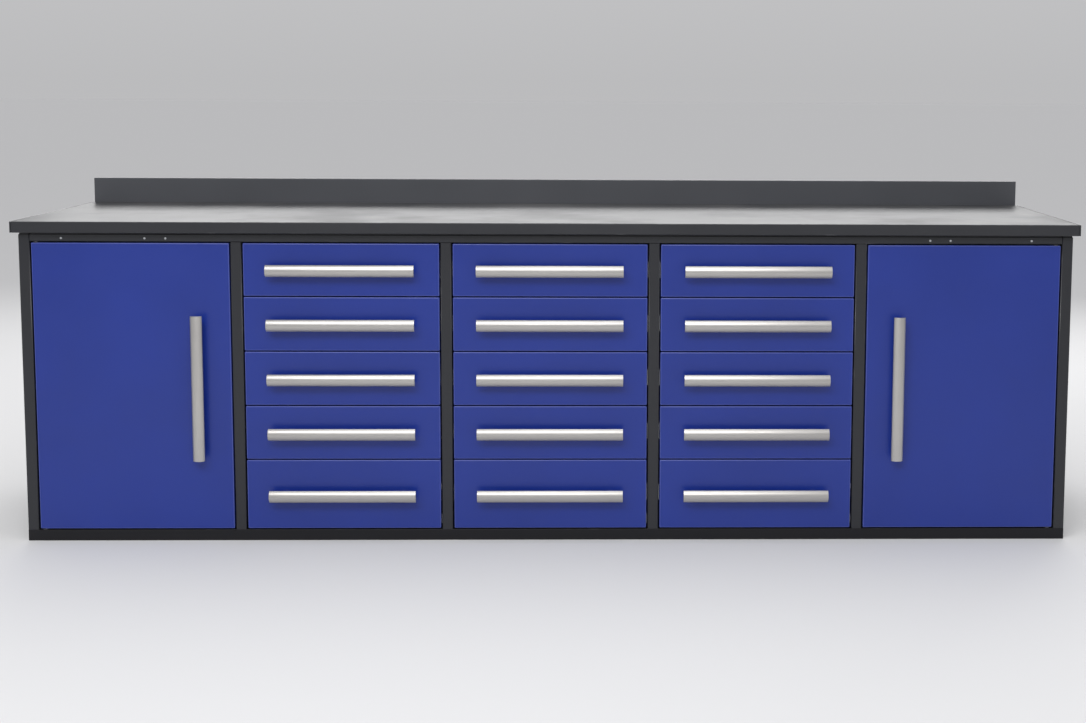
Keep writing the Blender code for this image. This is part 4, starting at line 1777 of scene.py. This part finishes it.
@dataclass(frozen=True)
class Softbox:
    """A large soft lamp; its Y is measured from the frame's front.

    Attributes:
        name: The lamp's name.
        place: Where it hangs.
        target: What it is aimed at.
        size: Its width and height.
        power: Its power in watts.
    """

    name: str
    place: tuple[float, float, float]
    target: tuple[float, float, float]
    size: tuple[float, float]
    power: float

    def build(self, front: float) -> None:
        """Add the lamp.

        Args:
            front: Y of the frame's front.
        """
        light = bpy.data.lights.new(self.name, "AREA")
        light.shape = "RECTANGLE"
        light.size, light.size_y = self.size
        light.energy = self.power
        lamp = bpy.data.objects.new(self.name, light)
        bpy.context.scene.collection.objects.link(lamp)
        offset = Vector((0, front, 0))
        place, target = Vector(self.place) + offset, Vector(self.target) + offset
        lamp.location = place
        lamp.rotation_euler = (target - place).to_track_quat("-Z", "Y").to_euler()
        lamp.visible_camera = False


@dataclass
class Studio:
    """Plain pale floor and soft light.

    Attributes:
        viewpoint: The camera.
        lamps: The softboxes.
        floor_reach: How far the floor runs out.
        floor_colour: Its colour.
        floor_roughness: Its roughness.
        horizon: Colour of the surroundings where they meet the floor.
        wall: Colour of the surroundings just above it.
        zenith: Colour of the surroundings overhead.
        wall_rise: How high over the horizon the surroundings take the wall's colour.
        zenith_rise: How high they take the zenith's.
    """

    viewpoint: Viewpoint = field(default_factory=Viewpoint)
    lamps: tuple[Softbox, ...] = (
        Softbox("key", (-0.8, -3.4, 3.5), (0.0, 0.0, 0.4), (3.8, 1.3), 116),
        Softbox("overhead", (0.4, 0.3, 3.6), (0.0, 0.3, 0.0), (4.5, 2.0), 35),
        Softbox("rear", (0.5, 3.9, 2.4), (0.2, 0.3, 0.9), (7.0, 1.3), 95))
    floor_reach: float = 80.0
    floor_colour: Colour = (0.66, 0.66, 0.66)
    floor_roughness: float = 0.75
    horizon: Colour = (0.50, 0.50, 0.51)
    wall: Colour = (0.60, 0.60, 0.61)
    zenith: Colour = (0.78, 0.78, 0.80)
    wall_rise: float = 0.20
    zenith_rise: float = 0.9

    def build(self, front: float) -> None:
        """Set up the floor, the surroundings, the lamps and the camera.

        Args:
            front: Y of the frame's front.
        """
        self.floor()
        self.surroundings()
        for softbox in self.lamps:
            softbox.build(front)
        self.viewpoint.build(front)
        bpy.context.scene.view_settings.view_transform = "Standard"

    def floor(self) -> None:
        """Wide pale floor."""
        made = Stock()
        bmesh.ops.create_grid(made.shape, x_segments=1, y_segments=1, size=self.floor_reach)
        plane = bpy.data.objects.new("floor", made.mesh("floor"))
        bpy.context.scene.collection.objects.link(plane)
        material = bpy.data.materials.new("pale_floor")
        material.use_nodes = True
        shader = material.node_tree.nodes["Principled BSDF"]
        shader.inputs["Base Color"].default_value = opaque(self.floor_colour)
        shader.inputs["Roughness"].default_value = self.floor_roughness
        plane.data.materials.append(material)

    def surroundings(self) -> None:
        """Even pale light from all round, brighter overhead."""
        world = bpy.data.worlds.new("studio")
        world.use_nodes = True
        bpy.context.scene.world = world
        graph = Graph(world.node_tree)
        direction = graph.node("ShaderNodeTexCoord").outputs["Generated"]
        height = graph.node("ShaderNodeSeparateXYZ", {0: direction}).outputs["Z"]
        low = graph.remap(height, (0.0, self.wall_rise))
        walls = graph.blend(low, opaque(self.horizon), opaque(self.wall))
        share = graph.remap(height, (self.wall_rise, self.zenith_rise))
        colour = graph.blend(share, walls, opaque(self.zenith))
        background = world.node_tree.nodes["Background"]
        world.node_tree.links.new(colour, background.inputs["Color"])


def main() -> None:
    """Build every sub-assembly round the frame, then the studio."""
    logging.basicConfig(level=logging.INFO, format="%(name)s: %(message)s")
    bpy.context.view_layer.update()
    front = Room.of("front_top_rail").low.y
    Carcass().build()
    Top().build()
    for column in COLUMNS:
        DrawerStack(column).build()
    for name in BAY_DOORS:
        CupboardDoor(name).build()
    Studio().build(front)


if __name__ == "__main__":
    main()
